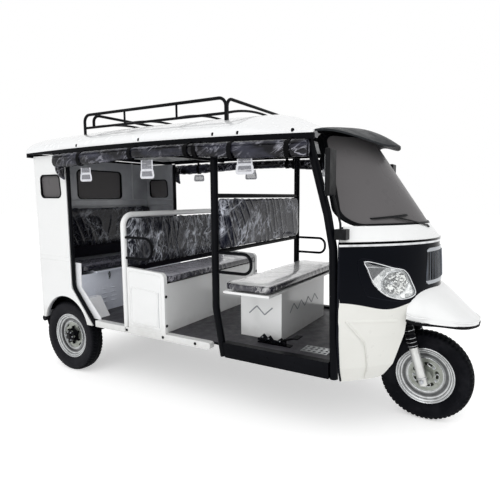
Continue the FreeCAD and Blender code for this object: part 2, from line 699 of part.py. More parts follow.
def middle_bench():
    """Middle bench: white tube hoop with armrests, sheet box with side cheeks, cushion, back and battery."""
    y = HALF_WIDTH - HOOP_TUBE
    foot = FLOOR_TOP
    points = [V(MIDDLE_HOOP, -y, foot), V(MIDDLE_HOOP, -y, MIDDLE_HOOP_TOP - HOOP_TUBE),
              V(MIDDLE_HOOP, y, MIDDLE_HOOP_TOP - HOOP_TUBE), V(MIDDLE_HOOP, y, foot)]
    save("middle_hoop", tube(points, HOOP_TUBE, HOOP_BEND))
    start = MIDDLE_HOOP + HOOP_TUBE + SEAT_GAP
    save("middle_armrests", *both_sides(armrest(start, MIDDLE_HOOP + MIDDLE_ARM_REACH, y, MIDDLE_ARM_LOW, MIDDLE_ARM_HIGH)))
    inner = HALF_WIDTH - WALL
    x0, x1 = MIDDLE_BENCH_BACK, MIDDLE_BENCH_FRONT
    box_shell = bench_box(x0, x1, inner - SEAT_GAP, SEAT_BOTTOM - SEAT_GAP)
    cheek_low, cheek_top, cheek_front = SILL_TOP + SEAT_GAP, SEAT_TOP + CHEEK_RISE, x1 + HOOP_TUBE / 2
    cheek = plate_xz([(x0, cheek_low), (cheek_front, cheek_low), (cheek_front, cheek_top - HOOP_TUBE), (x0, cheek_top)],
                     [0, 0, HOOP_BEND / 2, 0], inner - SEAT_GAP, HALF_WIDTH - SEAT_GAP)
    save("middle_bench_box", fused([box_shell] + both_sides(cheek)))
    cushion = block(x0, MIDDLE_CUSHION_FRONT, -CUSHION_HALF_WIDTH, CUSHION_HALF_WIDTH, SEAT_BOTTOM, SEAT_TOP)
    save("middle_cushion", softened(cushion, CUSHION_ROUND))
    back_half = y - HOOP_TUBE - SEAT_GAP
    outline = rectangle(-back_half, back_half, MIDDLE_BACK_LOW, MIDDLE_HOOP_TOP - HOOP_TUBE * 2 - SEAT_GAP)
    rest = plate_yz(outline, HOOP_BEND - HOOP_TUBE, MIDDLE_HOOP - BACK_THICKNESS / 2,
                    MIDDLE_HOOP + BACK_THICKNESS / 2)
    save("middle_backrest", softened(rest, CUSHION_ROUND))
    sheet = BENCH_SHEET
    battery_share = 0.7
    battery = block(x0 + sheet * 4, x1 - sheet * 4, -inner * battery_share, inner * battery_share,
                    FLOOR_TOP + MAT_SHEET + sheet, SEAT_BOTTOM - sheet * 10)
    save("battery_block", battery)


def armrest(x0, x1, y, low, high):
    """Bent tube armrest reaching forward from x0 to x1 at one side."""
    bend_share = 0.45
    points = [V(x0, y, high), V(x1, y, high), V(x1, y, low), V(x0, y, low)]
    return tube(points, ARMREST_TUBE, (high - low) * bend_share)


def driver_bench():
    """Driver's bench: sheet box with a wider seat board, cushion, and backrest between the posts."""
    x0, x1, half = DRIVER_BOX_BACK, DRIVER_BOX_FRONT, DRIVER_BOX_HALF
    low = FLOOR_TOP + MAT_SHEET
    outer = block(x0, x1, -half, half, low, SEAT_BOTTOM - LID_BOARD)
    sheet = BENCH_SHEET
    hollow = block(x0 + sheet, x1 - sheet, -half + sheet, half - sheet, low + sheet,
                   SEAT_BOTTOM - LID_BOARD - sheet)
    board = block(x0, DRIVER_CUSHION_FRONT, -CUSHION_HALF_WIDTH, CUSHION_HALF_WIDTH,
                  SEAT_BOTTOM - LID_BOARD, SEAT_BOTTOM - SEAT_GAP)
    save("driver_seat_box", fused([outer.cut(hollow), board]))
    cushion = block(DRIVER_CUSHION_BACK, DRIVER_CUSHION_FRONT, -CUSHION_HALF_WIDTH, CUSHION_HALF_WIDTH,
                    SEAT_BOTTOM, SEAT_TOP)
    save("driver_cushion", softened(cushion, CUSHION_ROUND))
    half_back = HALF_WIDTH - POST_TUBE * 2 - SEAT_GAP
    rest = block(HOOP_POST - BACK_THICKNESS / 3, HOOP_POST + BACK_THICKNESS * 2 / 3, -half_back, half_back,
                 DRIVER_BACK_LOW, DRIVER_BACK_HIGH - SEAT_GAP)
    save("driver_backrest", softened(rest, CUSHION_ROUND))


def driver_hoop():
    """Two kneed posts behind the driver, tied by rails over and under the backrest, with armrests."""
    y = HALF_WIDTH - POST_TUBE
    points = [V(HOOP_POST, y, BODY_TOP), V(HOOP_POST, y, HOOP_KNEE_HEIGHT),
              V(HOOP_FOOT, y, FRONT_SILL_BOTTOM)]
    post = tube(points, POST_TUBE, POST_BEND)
    rails = []
    for z in (DRIVER_BACK_HIGH + EDGE_TUBE, DRIVER_BACK_LOW - EDGE_TUBE):
        rails.append(rod(V(HOOP_POST, -y, z), V(HOOP_POST, y, z), EDGE_TUBE))
    arm = armrest(HOOP_POST, HOOP_POST + DRIVER_ARM_REACH, y, DRIVER_ARM_LOW, DRIVER_ARM_HIGH)
    save("driver_hoop", fused(both_sides(post) + rails + both_sides(arm)))


def front_posts():
    """Posts beside the windscreen, kneed at the waist, from the roof down to the sill."""
    y = HALF_WIDTH - POST_TUBE
    slope = (FRONT_POST_WAIST - FRONT_POST_TOP) / (BODY_TOP - FRONT_POST_WAIST_HEIGHT)
    points = [V(FRONT_POST_TOP - slope * OVERRUN, y, BODY_TOP + OVERRUN), V(FRONT_POST_WAIST, y, FRONT_POST_WAIST_HEIGHT),
              V(FRONT_POST_CHEST, y, FRONT_POST_CHEST_HEIGHT), V(FRONT_POST_FOOT, y, FRONT_SILL_BOTTOM)]
    above = block(HOOP_POST, FRONT_POST_FOOT, 0, HALF_WIDTH, BODY_TOP, BODY_TOP + OVERRUN * 2)
    return both_sides(tube(points, POST_TUBE, POST_BEND * 2).cut(above))


def edge_lean():
    """How far ahead of the panel's slanted edge the edge tube's line lies, measured level."""
    run, fall = REAR_PANEL_FOOT - REAR_PANEL_FRONT, REAR_PANEL_KNEE_HEIGHT - REAR_PANEL_FOOT_HEIGHT
    return (EDGE_TUBE + SEAT_GAP) * math.hypot(run, fall) / fall


def rear_posts():
    """Black edge tubes along the front of the rear side panels, kneed like them."""
    y = HALF_WIDTH - EDGE_TUBE
    gap = EDGE_TUBE + SEAT_GAP
    slope = (REAR_PANEL_KNEE_HEIGHT - REAR_PANEL_FOOT_HEIGHT) / (REAR_PANEL_FOOT - REAR_PANEL_FRONT)
    knee = REAR_PANEL_KNEE_HEIGHT + (edge_lean() - gap) * slope
    points = [V(REAR_PANEL_FRONT + gap, y, BODY_TOP), V(REAR_PANEL_FRONT + gap, y, knee),
              V(REAR_PANEL_FOOT + edge_lean(), y, REAR_PANEL_FOOT_HEIGHT)]
    return both_sides(tube(points, EDGE_TUBE, POST_BEND))


def ease(share):
    """Smooth step from 0 to 1, level at both ends."""
    share = min(max(share, 0), 1)
    return share * share * (3 - 2 * share)


def dome(share, fullness):
    """Rise of the dome across the roof, 1 at the middle and 0 at the edge; a small fullness squares it."""
    return (1 - abs(share) ** 1.2) ** fullness


def roof_at(x):
    """Edge height, crown and fullness of the roof at one station along it."""
    full, flat = 0.53, 0.75
    arch = (x - ROOF_MIDDLE) / (ROOF_FRONT - ROOF_MIDDLE)
    fall = ease((x - ROOF_FALL_START) / (ROOF_FALL_END - ROOF_FALL_START))
    return (ROOF_EDGE_HEIGHT + ROOF_ARCH * (1 - arch ** 2), ROOF_CROWN + (ROOF_FRONT_CROWN - ROOF_CROWN) * fall,
            full + (flat - full) * fall)


def visor_at(x):
    """Edge height, crown and fullness of the visor at one station ahead of the roof."""
    share = (x - ROOF_FRONT) / VISOR_REACH
    edge = ROOF_EDGE_HEIGHT - VISOR_EDGE_DROP * share ** 1.9
    crest = ROOF_EDGE_HEIGHT + ROOF_FRONT_CROWN - VISOR_DROP * share ** 1.85
    return edge, crest - edge, roof_at(ROOF_FRONT)[2]


def roof_section(x, shape, drop=0):
    """Cross-section of the roof's skin at one station, as points on a smooth dome, lowered by drop."""
    shares = [0, 0.25, 0.5, 0.7, 0.85, 0.94, 0.985, 1]
    shares = [-s for s in shares[:0:-1]] + shares
    edge, crown, fullness = shape
    return [V(x, ROOF_HALF_WIDTH * s, edge + crown * dome(s, fullness) - drop) for s in shares]


def roof_slice(x, shape, top=0, under=ROOF_SHEET):
    """Closed section between the dome lowered by one amount and the dome lowered by another."""
    rows = [roof_section(x, shape, top), roof_section(x, shape, under)[::-1]]
    curves = []
    for row in rows:
        curve = Part.BSplineCurve()
        curve.interpolate(row)
        curves.append(curve.toShape())
    return Part.Wire([curves[0], Part.LineSegment(rows[0][-1], rows[1][0]).toShape(), curves[1],
                      Part.LineSegment(rows[1][-1], rows[0][0]).toShape()])


def roof_height(x, y):
    """Height of the roof skin's top at a place."""
    edge, crown, fullness = roof_at(x)
    return edge + crown * dome(y / ROOF_HALF_WIDTH, fullness)


def roof_skin():
    """Moulded roof skin, domed across, falling ahead of the driver, closed by a fascia at the rear."""
    fall_shares = (0, 0.25, 0.5, 0.75, 1)
    run = ROOF_FALL_END - ROOF_FALL_START
    bays = 8
    stations = [-ROOF_REAR + (ROOF_FALL_START + ROOF_REAR) * i / bays for i in range(bays)]
    stations += [ROOF_FALL_START + run * share for share in fall_shares] + [ROOF_FRONT]
    skin = Part.makeLoft([roof_slice(x, roof_at(x)) for x in stations], True, True)
    row = roof_section(-ROOF_REAR, roof_at(-ROOF_REAR), ROOF_SHEET / 2)
    curve = Part.BSplineCurve()
    curve.interpolate(row)
    rim = Part.Wire([curve.toShape(), Part.LineSegment(row[-1], row[0]).toShape()])
    return skin.fuse(Part.Face(rim).extrude(V(ROOF_SHEET, 0, 0)))


def roof():
    """Roof skin, with its dark edge trim following the arch, and the bows that carry it."""
    save("roof_panel", roof_skin())
    under = ROOF_SHEET + SEAT_GAP
    arcs = []
    for fall in (under, under + TRIM_HEIGHT):
        arcs.append([V(x, ROOF_HALF_WIDTH, roof_at(x)[0] - fall) for x in (-ROOF_REAR, ROOF_MIDDLE, ROOF_FRONT)])
    (a, b, c), (d, e, f) = arcs
    outline = Part.Wire([Part.Arc(a, b, c).toShape(), Part.LineSegment(c, f).toShape(),
                         Part.Arc(f, e, d).toShape(), Part.LineSegment(d, a).toShape()])
    trim = Part.Face(outline).extrude(V(0, -TRIM_WIDTH, 0))
    top = ROOF_EDGE_HEIGHT - under
    half = ROOF_HALF_WIDTH
    thin = block(-ROOF_REAR + TRIM_WIDTH, REAR_PANEL_FRONT, 0, half, BODY_TOP - OVERRUN, top - TRIM_THIN)
    pieces = both_sides(trim.cut(thin))
    pieces.append(block(-ROOF_REAR, -ROOF_REAR + TRIM_WIDTH, -half, half, top - TRIM_HEIGHT, top))
    for x in (0, MIDDLE_HOOP, HOOP_POST - JOIST / 2, FRONT_POST_TOP - POST_TUBE - JOIST):
        low = max(BODY_TOP + SEAT_GAP, roof_at(x)[0] - under - TRIM_HEIGHT)
        pieces.append(block(x, x + JOIST, -HALF_WIDTH, HALF_WIDTH, BODY_TOP + SEAT_GAP, top))
        pieces.append(block(x, x + JOIST, -half, half, low, top))
    pad = block(FRONT_POST_TOP - POST_TUBE, FRONT_POST_TOP + POST_TUBE, HALF_WIDTH - POST_TUBE * 2, HALF_WIDTH,
                BODY_TOP + SEAT_GAP, top)
    shoe = block(FRONT_POST_TOP - POST_TUBE - JOIST, FRONT_POST_TOP + POST_TUBE, HALF_WIDTH - POST_TUBE * 2, half,
                 top - TRIM_THIN, top)
    save("roof_frame", fused(pieces + both_sides(pad) + both_sides(shoe)))


def visor():
    """Moulded sun visor ahead of the roof: its dome dips forward and ends in a bowed front lip."""
    start = ROOF_FRONT + SEAT_GAP
    sections = []
    bays = 10
    for i in range(bays + 1):
        reach = VISOR_REACH * i / bays
        sections.append(roof_slice(start + reach, visor_at(ROOF_FRONT + reach)))
    low = ROOF_EDGE_HEIGHT - VISOR_EDGE_DROP - OVERRUN
    lip_shares = [(0, 0.97), (0.32, 0.70), (0.757, 0.333), (1, 0)]
    lip_shares += [(reach, -side) for reach, side in lip_shares[2::-1]]
    corners = [V(start + VISOR_REACH * reach, ROOF_HALF_WIDTH * side, low) for reach, side in lip_shares]
    lip = Part.BSplineCurve()
    lip.interpolate(corners)
    back = Part.LineSegment(corners[-1], corners[0]).toShape()
    plan = Part.Face(Part.Wire([lip.toShape(), back])).extrude(V(0, 0, VISOR_EDGE_DROP * 2))
    save("visor", Part.makeLoft(sections, True, True).common(plan))


def roof_rack():
    """Luggage rack: side rails and end hoops whose legs stand on the roof, base rails and cross bars."""
    r = RACK_TUBE
    base_share, bar_share, post_share = 0.86, 0.78, 0.70
    low, high, y = RACK_BASE_HEIGHT, RACK_BASE_HEIGHT + RACK_RISE, RACK_HALF
    sink = ROOF_SHEET / 2
    side = tube([V(RACK_REAR, y, roof_height(RACK_REAR, y) - sink), V(RACK_REAR, y, high), V(RACK_FRONT, y, high),
                 V(RACK_FRONT, y, roof_height(RACK_FRONT, y) - sink)], r, RACK_BEND)
    base = rod(V(RACK_REAR, y, low), V(RACK_FRONT, y, low), r * base_share)
    pieces = both_sides(side) + both_sides(base)
    for x in (RACK_LEG_REAR, RACK_FRONT - r / 2):
        foot = low if x == RACK_LEG_REAR else roof_height(x, RACK_LEG) - sink
        points = [V(x, -RACK_LEG, foot), V(x, -RACK_LEG, high), V(x, RACK_LEG, high), V(x, RACK_LEG, foot)]
        pieces.append(tube(points, r, RACK_BEND))
    length = RACK_FRONT - RACK_REAR
    for share in (0.325, 0.695):
        x = RACK_REAR + length * share
        pieces += both_sides(rod(V(x, y, low), V(x, y, high), r * post_share))
        pieces.append(rack_bar(x, r * bar_share))
    for x in (RACK_LEG_REAR, RACK_FRONT):
        pieces.append(rack_bar(x, r * bar_share))
    above = roof_skin()
    above.translate(V(0, 0, SEAT_GAP))
    save("roof_rack", fused(pieces).cut(above))


def rack_bar(x, radius):
    """Cross bar of the rack, bowed to pass over the roof's crown."""
    ends = [V(x, side * RACK_HALF, RACK_BASE_HEIGHT) for side in (-1, 1)]
    over = V(x, 0, roof_height(x, 0) + RACK_TUBE * 2)
    path = Part.Wire(Part.Arc(ends[0], over, ends[1]).toShape())
    section = Part.Wire(Part.makeCircle(radius, ends[0], path.Edges[0].tangentAt(0)))
    return path.makePipeShell([section], True, False)


def nose_curve(reach, z, half=HALF_WIDTH):
    """One level of the nose: a parabola in plan, as a curve with three poles."""
    fall = NOSE_SWEEP * (half / HALF_WIDTH) ** 2
    curve = Part.BezierCurve()
    curve.setPoles([V(reach - fall, -half, z), V(reach + fall, 0, z), V(reach - fall, half, z)])
    return curve.toShape()


def nose_slice(reach, z, wall, half=HALF_WIDTH):
    """Closed wire of one level of a nose panel: the outer parabola, and the same one wall behind."""
    outer = nose_curve(reach, z, half)
    inner = nose_curve(reach - wall, z, half)
    ends = [Part.LineSegment(outer.Vertexes[i].Point, inner.Vertexes[i].Point).toShape() for i in (1, 0)]
    return Part.Wire(Part.__sortEdges__([outer, inner] + ends))


def nose_shell(levels, wall, proud=0, half=HALF_WIDTH):
    """Nose panel ruled between levels given as (height, reach) pairs, standing proud if asked."""
    slices = [nose_slice(reach + proud, z, wall, half) for z, reach in levels]
    return Part.makeLoft(slices, True, True)


STRIP = (STRIP_HEIGHT, STRIP_REACH)
BAND_MIDDLE = (BAND_MIDDLE_HEIGHT, BAND_MIDDLE_REACH)
BAND_FOOT = (BAND_FOOT_HEIGHT, BAND_FOOT_REACH)
GLASS_FOOT = (GLASS_FOOT_HEIGHT, GLASS_FOOT_REACH)
GLASS_TOP = (GLASS_TOP_HEIGHT, GLASS_TOP_REACH)
CORNER_MIDDLE = (CORNER_MIDDLE_HEIGHT, CORNER_MIDDLE_REACH)
CORNER_LOW = (CORNER_LOW_HEIGHT, CORNER_LOW_REACH)
CORNER_FOOT = (CORNER_FOOT_HEIGHT, CORNER_FOOT_REACH)


def reach_at(height, low, high):
    """Reach of the nose at a height on the straight slope between two levels."""
    return low[1] + (high[1] - low[1]) * (height - low[0]) / (high[0] - low[0])


def raised(level, rise):
    """A level moved up without changing its reach."""
    return (level[0] + rise, level[1])


def lamp_outline(side, grow=0):
    """Teardrop outline of a headlamp on the nose, as (y, z) points from the outer corner round."""
    shares = [(1, 1), (0.033, 0.631), (-0.512, 0.427), (-0.831, -0.165), (-1, -0.825), (-0.286, -1), (0.39, -0.67),
              (0.793, -0.019), (0.953, 0.573)]
    points = []
    for across, up in shares:
        away = V(across * LAMP_HALF_WIDTH, up * LAMP_HALF_HEIGHT, 0)
        away = away * (1 + grow / away.Length)
        points.append((side * (LAMP_MIDDLE + away.x), LAMP_HEIGHT + away.y))
    return points


def lamp_prism(side, grow, x0, x1):
    """Headlamp outline as one closed curve, run along the vehicle from x0 to x1."""
    curve = Part.BSplineCurve()
    curve.interpolate([V(x0, y, z) for y, z in lamp_outline(side, grow)], PeriodicFlag=True)
    return Part.Face(Part.Wire(curve.toShape())).extrude(V(x1 - x0, 0, 0))


def band_region(lower, x0, x1):
    """Everything above the dark band's bowed lower edge, that edge being lowered by an amount."""
    shares = [(1, 1), (0.85, 0.5), (0.684, 0), (0.549, 0.39), (0.456, 0.74), (0.33, 1.28), (0, 1.5)]
    shares += [(-across, up) for across, up in shares[5::-1]]
    rise = BAND_FOOT_HEIGHT - BAND_LOW_HEIGHT
    side = HALF_WIDTH + SEAT_GAP
    edge = [V(x0, side * across, BAND_LOW_HEIGHT + rise * up - lower) for across, up in shares]
    curve = Part.BSplineCurve()
    curve.interpolate(edge)
    top = [V(x0, -side, ROOF_EDGE_HEIGHT), V(x0, side, ROOF_EDGE_HEIGHT)]
    corners = [edge[-1]] + top + [edge[0]]
    lines = [Part.LineSegment(a, b).toShape() for a, b in zip(corners, corners[1:])]
    return Part.Face(Part.Wire([curve.toShape()] + lines)).extrude(V(x1 - x0, 0, 0))


def grille_outline(shrink):
    """Grille outline in (y, z), wider below, shrunk all round."""
    foot, top = GRILLE_HALF - shrink, GRILLE_TOP_HALF - shrink
    low, high = GRILLE_LOW + shrink, GRILLE_HIGH - shrink
    return [(-foot, low), (foot, low), (top, high), (-top, high)]


def nose():
    """White cowl top, chrome strip, dark band with lamp and grille openings, white corner panels."""
    x0, x1 = FRONT_POST_WAIST, BAND_FOOT_REACH + OVERRUN
    half = HALF_WIDTH
    clear = FRONT_POST_FOOT + POST_TUBE + SEAT_GAP
    keep = block(clear, x1, -half, half, 0, ROOF_EDGE_HEIGHT)
    strip_top = raised(STRIP, STRIP_BAND)
    top_panel = nose_shell([raised(STRIP, STRIP_BAND + SEAT_GAP), raised(GLASS_FOOT, -SEAT_GAP)], NOSE_WALL)
    save("cowl_top", top_panel.common(keep))
    save("nose_strip", nose_shell([raised(STRIP, SEAT_GAP), strip_top], NOSE_WALL, proud=LENS_SHEET).common(keep))
    low = BAND_LOW_HEIGHT - OVERRUN
    band_low = (low, reach_at(low, CORNER_MIDDLE, BAND_FOOT))
    band = nose_shell([band_low, BAND_FOOT, BAND_MIDDLE, STRIP], NOSE_WALL)
    hole = plate_yz(grille_outline(0), GRILLE_LIP, x0, x1)
    lamps = [lamp_prism(side, 0, x0, x1) for side in (-1, 1)]
    save("nose_band", band.common(keep).common(band_region(0, x0, x1)).cut([hole] + lamps))
    corners = nose_shell([CORNER_FOOT, CORNER_LOW, CORNER_MIDDLE, BAND_FOOT], NOSE_WALL)
    low_share, foot_share = 1.075, 1.14
    edge = [(half, CORNER_FOOT_HEIGHT), (half, BAND_FOOT_HEIGHT), (WELL_HALF, BAND_FOOT_HEIGHT),
            (WELL_HALF, CORNER_MIDDLE_HEIGHT), (WELL_HALF * low_share, CORNER_LOW_HEIGHT),
            (WELL_HALF * foot_share, CORNER_FOOT_HEIGHT)]
    radii = [GRILLE_LIP, 0, 0, 0, 0, OVERRUN]
    left = corners.common(keep).common(plate_yz(edge, radii, x0, x1)).cut(band_region(SEAT_GAP, x0, x1))
    save("corner_panels", *both_sides(left))
    grille(x0, x1)
    headlamps()


def grille(x0, x1):
    """Radiator-style grille: upright slats between a top and a bottom lip, set in the nose band."""
    inner = nose_shell([BAND_FOOT, BAND_MIDDLE, STRIP], NOSE_WALL * 3, proud=LENS_SHEET)
    frame = plate_yz(grille_outline(SEAT_GAP), GRILLE_LIP, x0, x1)
    cuts = []
    side = GRILLE_TOP_HALF - SLAT_WIDTH * 2
    pitch = (2 * side + SLAT_WIDTH) / SLAT_COUNT
    for i in range(SLAT_COUNT):
        y = -side + pitch * i
        cuts.append(block(x0, x1, y, y + pitch - SLAT_WIDTH, GRILLE_LOW + GRILLE_LIP, GRILLE_HIGH - GRILLE_LIP))
    save("grille", inner.common(frame.cut(cuts)))


def headlamps():
    """Clear teardrop lenses, rimmed and hollow, over bright reflector bowls set in the dark band."""
    x0, x1 = FRONT_POST_WAIST, BAND_FOOT_REACH + OVERRUN
    levels = [BAND_FOOT, BAND_MIDDLE, STRIP]
    lenses, bowls = [], []
    for side in (-1, 1):
        outer = lamp_prism(side, -SEAT_GAP, x0, x1)
        hollow = lamp_prism(side, -SEAT_GAP - LENS_SHEET, x0, x1)
        lens = nose_shell(levels, NOSE_WALL + LENS_PROUD, proud=LENS_PROUD).common(outer)
        room = nose_shell(levels, NOSE_WALL * 2, proud=LENS_PROUD - LENS_SHEET).common(hollow)
        lenses.append(lens.cut(room))
        backing = lamp_prism(side, NOSE_WALL, x0, x1)
        bowls.append(nose_shell(levels, NOSE_WALL, proud=-NOSE_WALL - SEAT_GAP).common(backing))
    save("headlamp_lenses", *lenses)
    save("headlamp_bowls", *bowls)


def windscreen_outline(grow):
    """Windscreen outline in (y, z): a trapezoid, wider below, grown all round."""
    low, high = GLASS_FOOT_HEIGHT - grow, GLASS_TOP_HEIGHT + grow
    foot, top = WINDSCREEN_FOOT_HALF + grow, WINDSCREEN_TOP_HALF + grow
    return [(-foot, low), (foot, low), (top, high), (-top, high)]


def windscreen():
    """Curved laminated windscreen in a black rubber seal, with its frame and the header over it."""
    slope = (GLASS_TOP_REACH - GLASS_FOOT_REACH) / (GLASS_TOP_HEIGHT - GLASS_FOOT_HEIGHT)
    above = SEAL_DEPTH * 1.5
    low, high = GLASS_FOOT, (GLASS_TOP_HEIGHT + above, GLASS_TOP_REACH + slope * above)
    x0, x1 = HOOP_POST, BAND_FOOT_REACH + OVERRUN
    inset = SEAL_WIDTH
    pane = plate_yz(windscreen_outline(-inset - SEAT_GAP), WINDSCREEN_CORNER - inset, x0, x1)
    ring = plate_yz(windscreen_outline(0), WINDSCREEN_CORNER, x0, x1)
    ring = ring.cut(plate_yz(windscreen_outline(-inset), WINDSCREEN_CORNER - inset, x0, x1))
    panes, seals = windows()
    seal_share, frame_share = 0.75, 0.5
    save("window_glass", nose_shell([low, high], GLASS_SHEET, proud=-NOSE_WALL).common(pane), *panes)
    save("window_seals", nose_shell([low, high], SEAL_DEPTH * seal_share).common(ring), *seals)
    shell = nose_shell([low, high], SEAL_DEPTH * frame_share, proud=-NOSE_WALL / 2)
    border = FRAME_WIDTH
    surround = plate_yz(windscreen_outline(border), WINDSCREEN_CORNER + border, x0, x1)
    top = GLASS_TOP_HEIGHT
    header = plate_yz(rectangle(-WINDSCREEN_TOP_HALF, WINDSCREEN_TOP_HALF, top, top + above), 0, x0, x1)
    hole = plate_yz(windscreen_outline(SEAT_GAP), WINDSCREEN_CORNER + SEAT_GAP, x0, x1)
    frame = shell.common(surround.fuse(header)).cut([hole, roof_cover()])
    save("windscreen_frame", frame)


def roof_cover():
    """Everything from just under the front of the roof and the visor upwards."""
    raise_by, under = -OVERRUN * 3, ROOF_SHEET + SEAT_GAP * 2
    back = FRONT_POST_TOP - POST_TUBE - JOIST * 2
    sections = [roof_slice(x, roof_at(x), raise_by, under) for x in (back, ROOF_FALL_END, ROOF_FRONT)]
    for share in (0.2, 0.4, 0.6):
        x = ROOF_FRONT + VISOR_REACH * share
        sections.append(roof_slice(x, visor_at(x), raise_by, under))
    return Part.makeLoft(sections, True, True)


def fender_slice(x, half, bottom, edge, crown, squareness):
    """Closed section of the front mudguard: a rounded top over two short skirts, one sheet thick."""
    shares = [0, 0.3, 0.55, 0.78, 0.92, 0.985, 1]
    shares = [-s for s in shares[:0:-1]] + shares
    rows = []
    for drop in (0, FENDER_SHEET):
        rows.append([V(x, (half - drop) * s, edge + (crown - drop - edge) * (1 - abs(s) ** squareness) ** 0.5) for s in shares])
    rows[1].reverse()
    curves = []
    for row in rows:
        curve = Part.BSplineCurve()
        curve.interpolate(row)
        curves.append(curve.toShape())
    foot = [V(x, y, bottom) for y in (half, half - FENDER_SHEET, FENDER_SHEET - half, -half)]
    right = [rows[0][-1], foot[0], foot[1], rows[1][0]]
    left = [rows[1][-1], foot[2], foot[3], rows[0][0]]
    runs = [[Part.LineSegment(a, b).toShape() for a, b in zip(side, side[1:])] for side in (right, left)]
    return Part.Wire([curves[0]] + runs[0] + [curves[1]] + runs[1])


def fender():
    """White beak-shaped mudguard over the front wheel, growing out of the nose."""
    root_x = BAND_FOOT_REACH - NOSE_SWEEP * (FENDER_ROOT_HALF / HALF_WIDTH) ** 2
    tip_x = WHEELBASE + FRONT_REACH
    drop, rise = FENDER_EDGE_HEIGHT - FENDER_TIP_HEIGHT, FENDER_ROOT_HEIGHT - FENDER_EDGE_HEIGHT
    stations = [(0, 1, 1, 1, 3), (0.35, 0.92, 0.69, 0.87, 2.8), (0.7, 0.66, 0.286, 0.46, 2.4),
                (0.92, 0.36, 0.04, 0.20, 2.2), (1, 0.14, 0, 0.125, 2)]
    slices = []
    for along, width, low, high, squareness in stations:
        bottom = FENDER_TIP_HEIGHT + drop * low
        skirt = FENDER_SKIRT * (1 + low) / 2
        slices.append(fender_slice(root_x + (tip_x - root_x) * along, FENDER_ROOT_HALF * width, bottom, bottom + skirt,
                                   bottom + rise * high, squareness))
    solid = Part.makeLoft(slices, True, False)
    behind = nose_shell([CORNER_MIDDLE, BAND_FOOT, BAND_MIDDLE, STRIP], REAR_FACE, proud=SEAT_GAP)
    save("front_fender", solid.cut(behind))


def mirrors():
    """Long upright mirror on a bent stalk from a block on the cowl's end, at each side."""
    y = HALF_WIDTH + MIRROR_DEPTH
    head = block(MIRROR_REACH - MIRROR_DEPTH, MIRROR_REACH, y - MIRROR_WIDTH / 3, y + MIRROR_WIDTH * 2 / 3, MIRROR_LOW,
                 MIRROR_LOW + MIRROR_HEIGHT)
    head = softened(head, MIRROR_DEPTH / 3)
    back = FRONT_POST_CHEST + POST_TUBE + SEAT_GAP
    front = back + MIRROR_BLOCK_LENGTH
    middle = (MIRROR_BLOCK_LOW + MIRROR_BLOCK_HIGH) / 2
    base = block(back, front, HALF_WIDTH - OVERRUN, HALF_WIDTH + MIRROR_DEPTH, MIRROR_BLOCK_LOW, MIRROR_BLOCK_HIGH)
    behind = nose_shell([raised(STRIP, STRIP_BAND), GLASS_FOOT], REAR_FACE, proud=SEAT_GAP)
    behind = behind.fuse(block(0, front, 0, HALF_WIDTH - MIRROR_DEPTH, 0, ROOF_EDGE_HEIGHT))
    elbow = V((back + front) / 2, y, MIRROR_ELBOW_HEIGHT)
    stalk = tube([V((back + front) / 2, y - ARMREST_TUBE, middle), elbow,
                  V(MIRROR_REACH - MIRROR_DEPTH / 2, y, MIRROR_LOW + OVERRUN)], ARMREST_TUBE * 2 / 3, MIRROR_DEPTH / 2)
    save("mirrors", *both_sides(fused([head, stalk, base.cut(behind)])))


def wiper():
    """Windscreen wiper parked low on the glass: pivot on the cowl, arm and blade."""
    levels = [raised(STRIP, STRIP_BAND), GLASS_FOOT, GLASS_TOP]
    x0, x1 = FRONT_POST_WAIST, BAND_FOOT_REACH + OVERRUN
    proud, sheet = NOSE_WALL, NOSE_WALL / 2
    arm_layer = nose_shell(levels, sheet, proud=proud)
    blade_layer = nose_shell(levels, sheet + NOSE_WALL - SEAT_GAP + 1, proud=sheet + 1)
    boss_layer = nose_shell(levels, proud - SEAT_GAP, proud=proud)
    boss = Part.makeCylinder(WIPER_RADIUS, x1 - x0, V(x0, -WIPER_PIVOT, WIPER_PIVOT_HEIGHT), V(1, 0, 0))
    middle = ((BLADE_OUTER + BLADE_INNER) / 2, BLADE_HEIGHT + BLADE_RISE / 2)
    arm = strip_yz((WIPER_PIVOT, WIPER_PIVOT_HEIGHT), middle, sheet, x0, x1)
    blade = strip_yz((BLADE_OUTER, BLADE_HEIGHT), (BLADE_INNER, BLADE_HEIGHT + BLADE_RISE), sheet, x0, x1)
    save("wiper", fused([arm_layer.common(arm), blade_layer.common(blade), boss_layer.common(boss)]))


def strip_yz(start, end, half, x0, x1):
    """Slim strip between two (y, z) places on the vehicle's right, a half width to each side."""
    a, b = V(0, -start[0], start[1]), V(0, -end[0], end[1])
    aside = V(1, 0, 0).cross(b - a).normalize() * half
    corners = [a - aside, b - aside, b + aside, a + aside]
    return plate_yz([(c.y, c.z) for c in corners], 0, x0, x1)


def bulkhead():
    """Toe board in front of the driver's feet, and the shelf under the windscreen."""
    half = HALF_WIDTH - WALL
    toe = block(TOE_BOARD, TOE_BOARD + FLOOR_SHEET, -half + OVERRUN, half - OVERRUN, FLOOR_TOP - FLOOR_SHEET,
                BAND_FOOT_HEIGHT)
    low = STRIP_HEIGHT + NOSE_WALL * 4
    top = low + NOSE_WALL
    reach = reach_at(top, raised(STRIP, STRIP_BAND), GLASS_FOOT) - NOSE_WALL - SEAT_GAP
    shelf = nose_shell([(low, reach), (top, reach)], DASH_DEPTH, half=HALF_WIDTH - WALL * 3)
    save("bulkhead", toe, shelf)


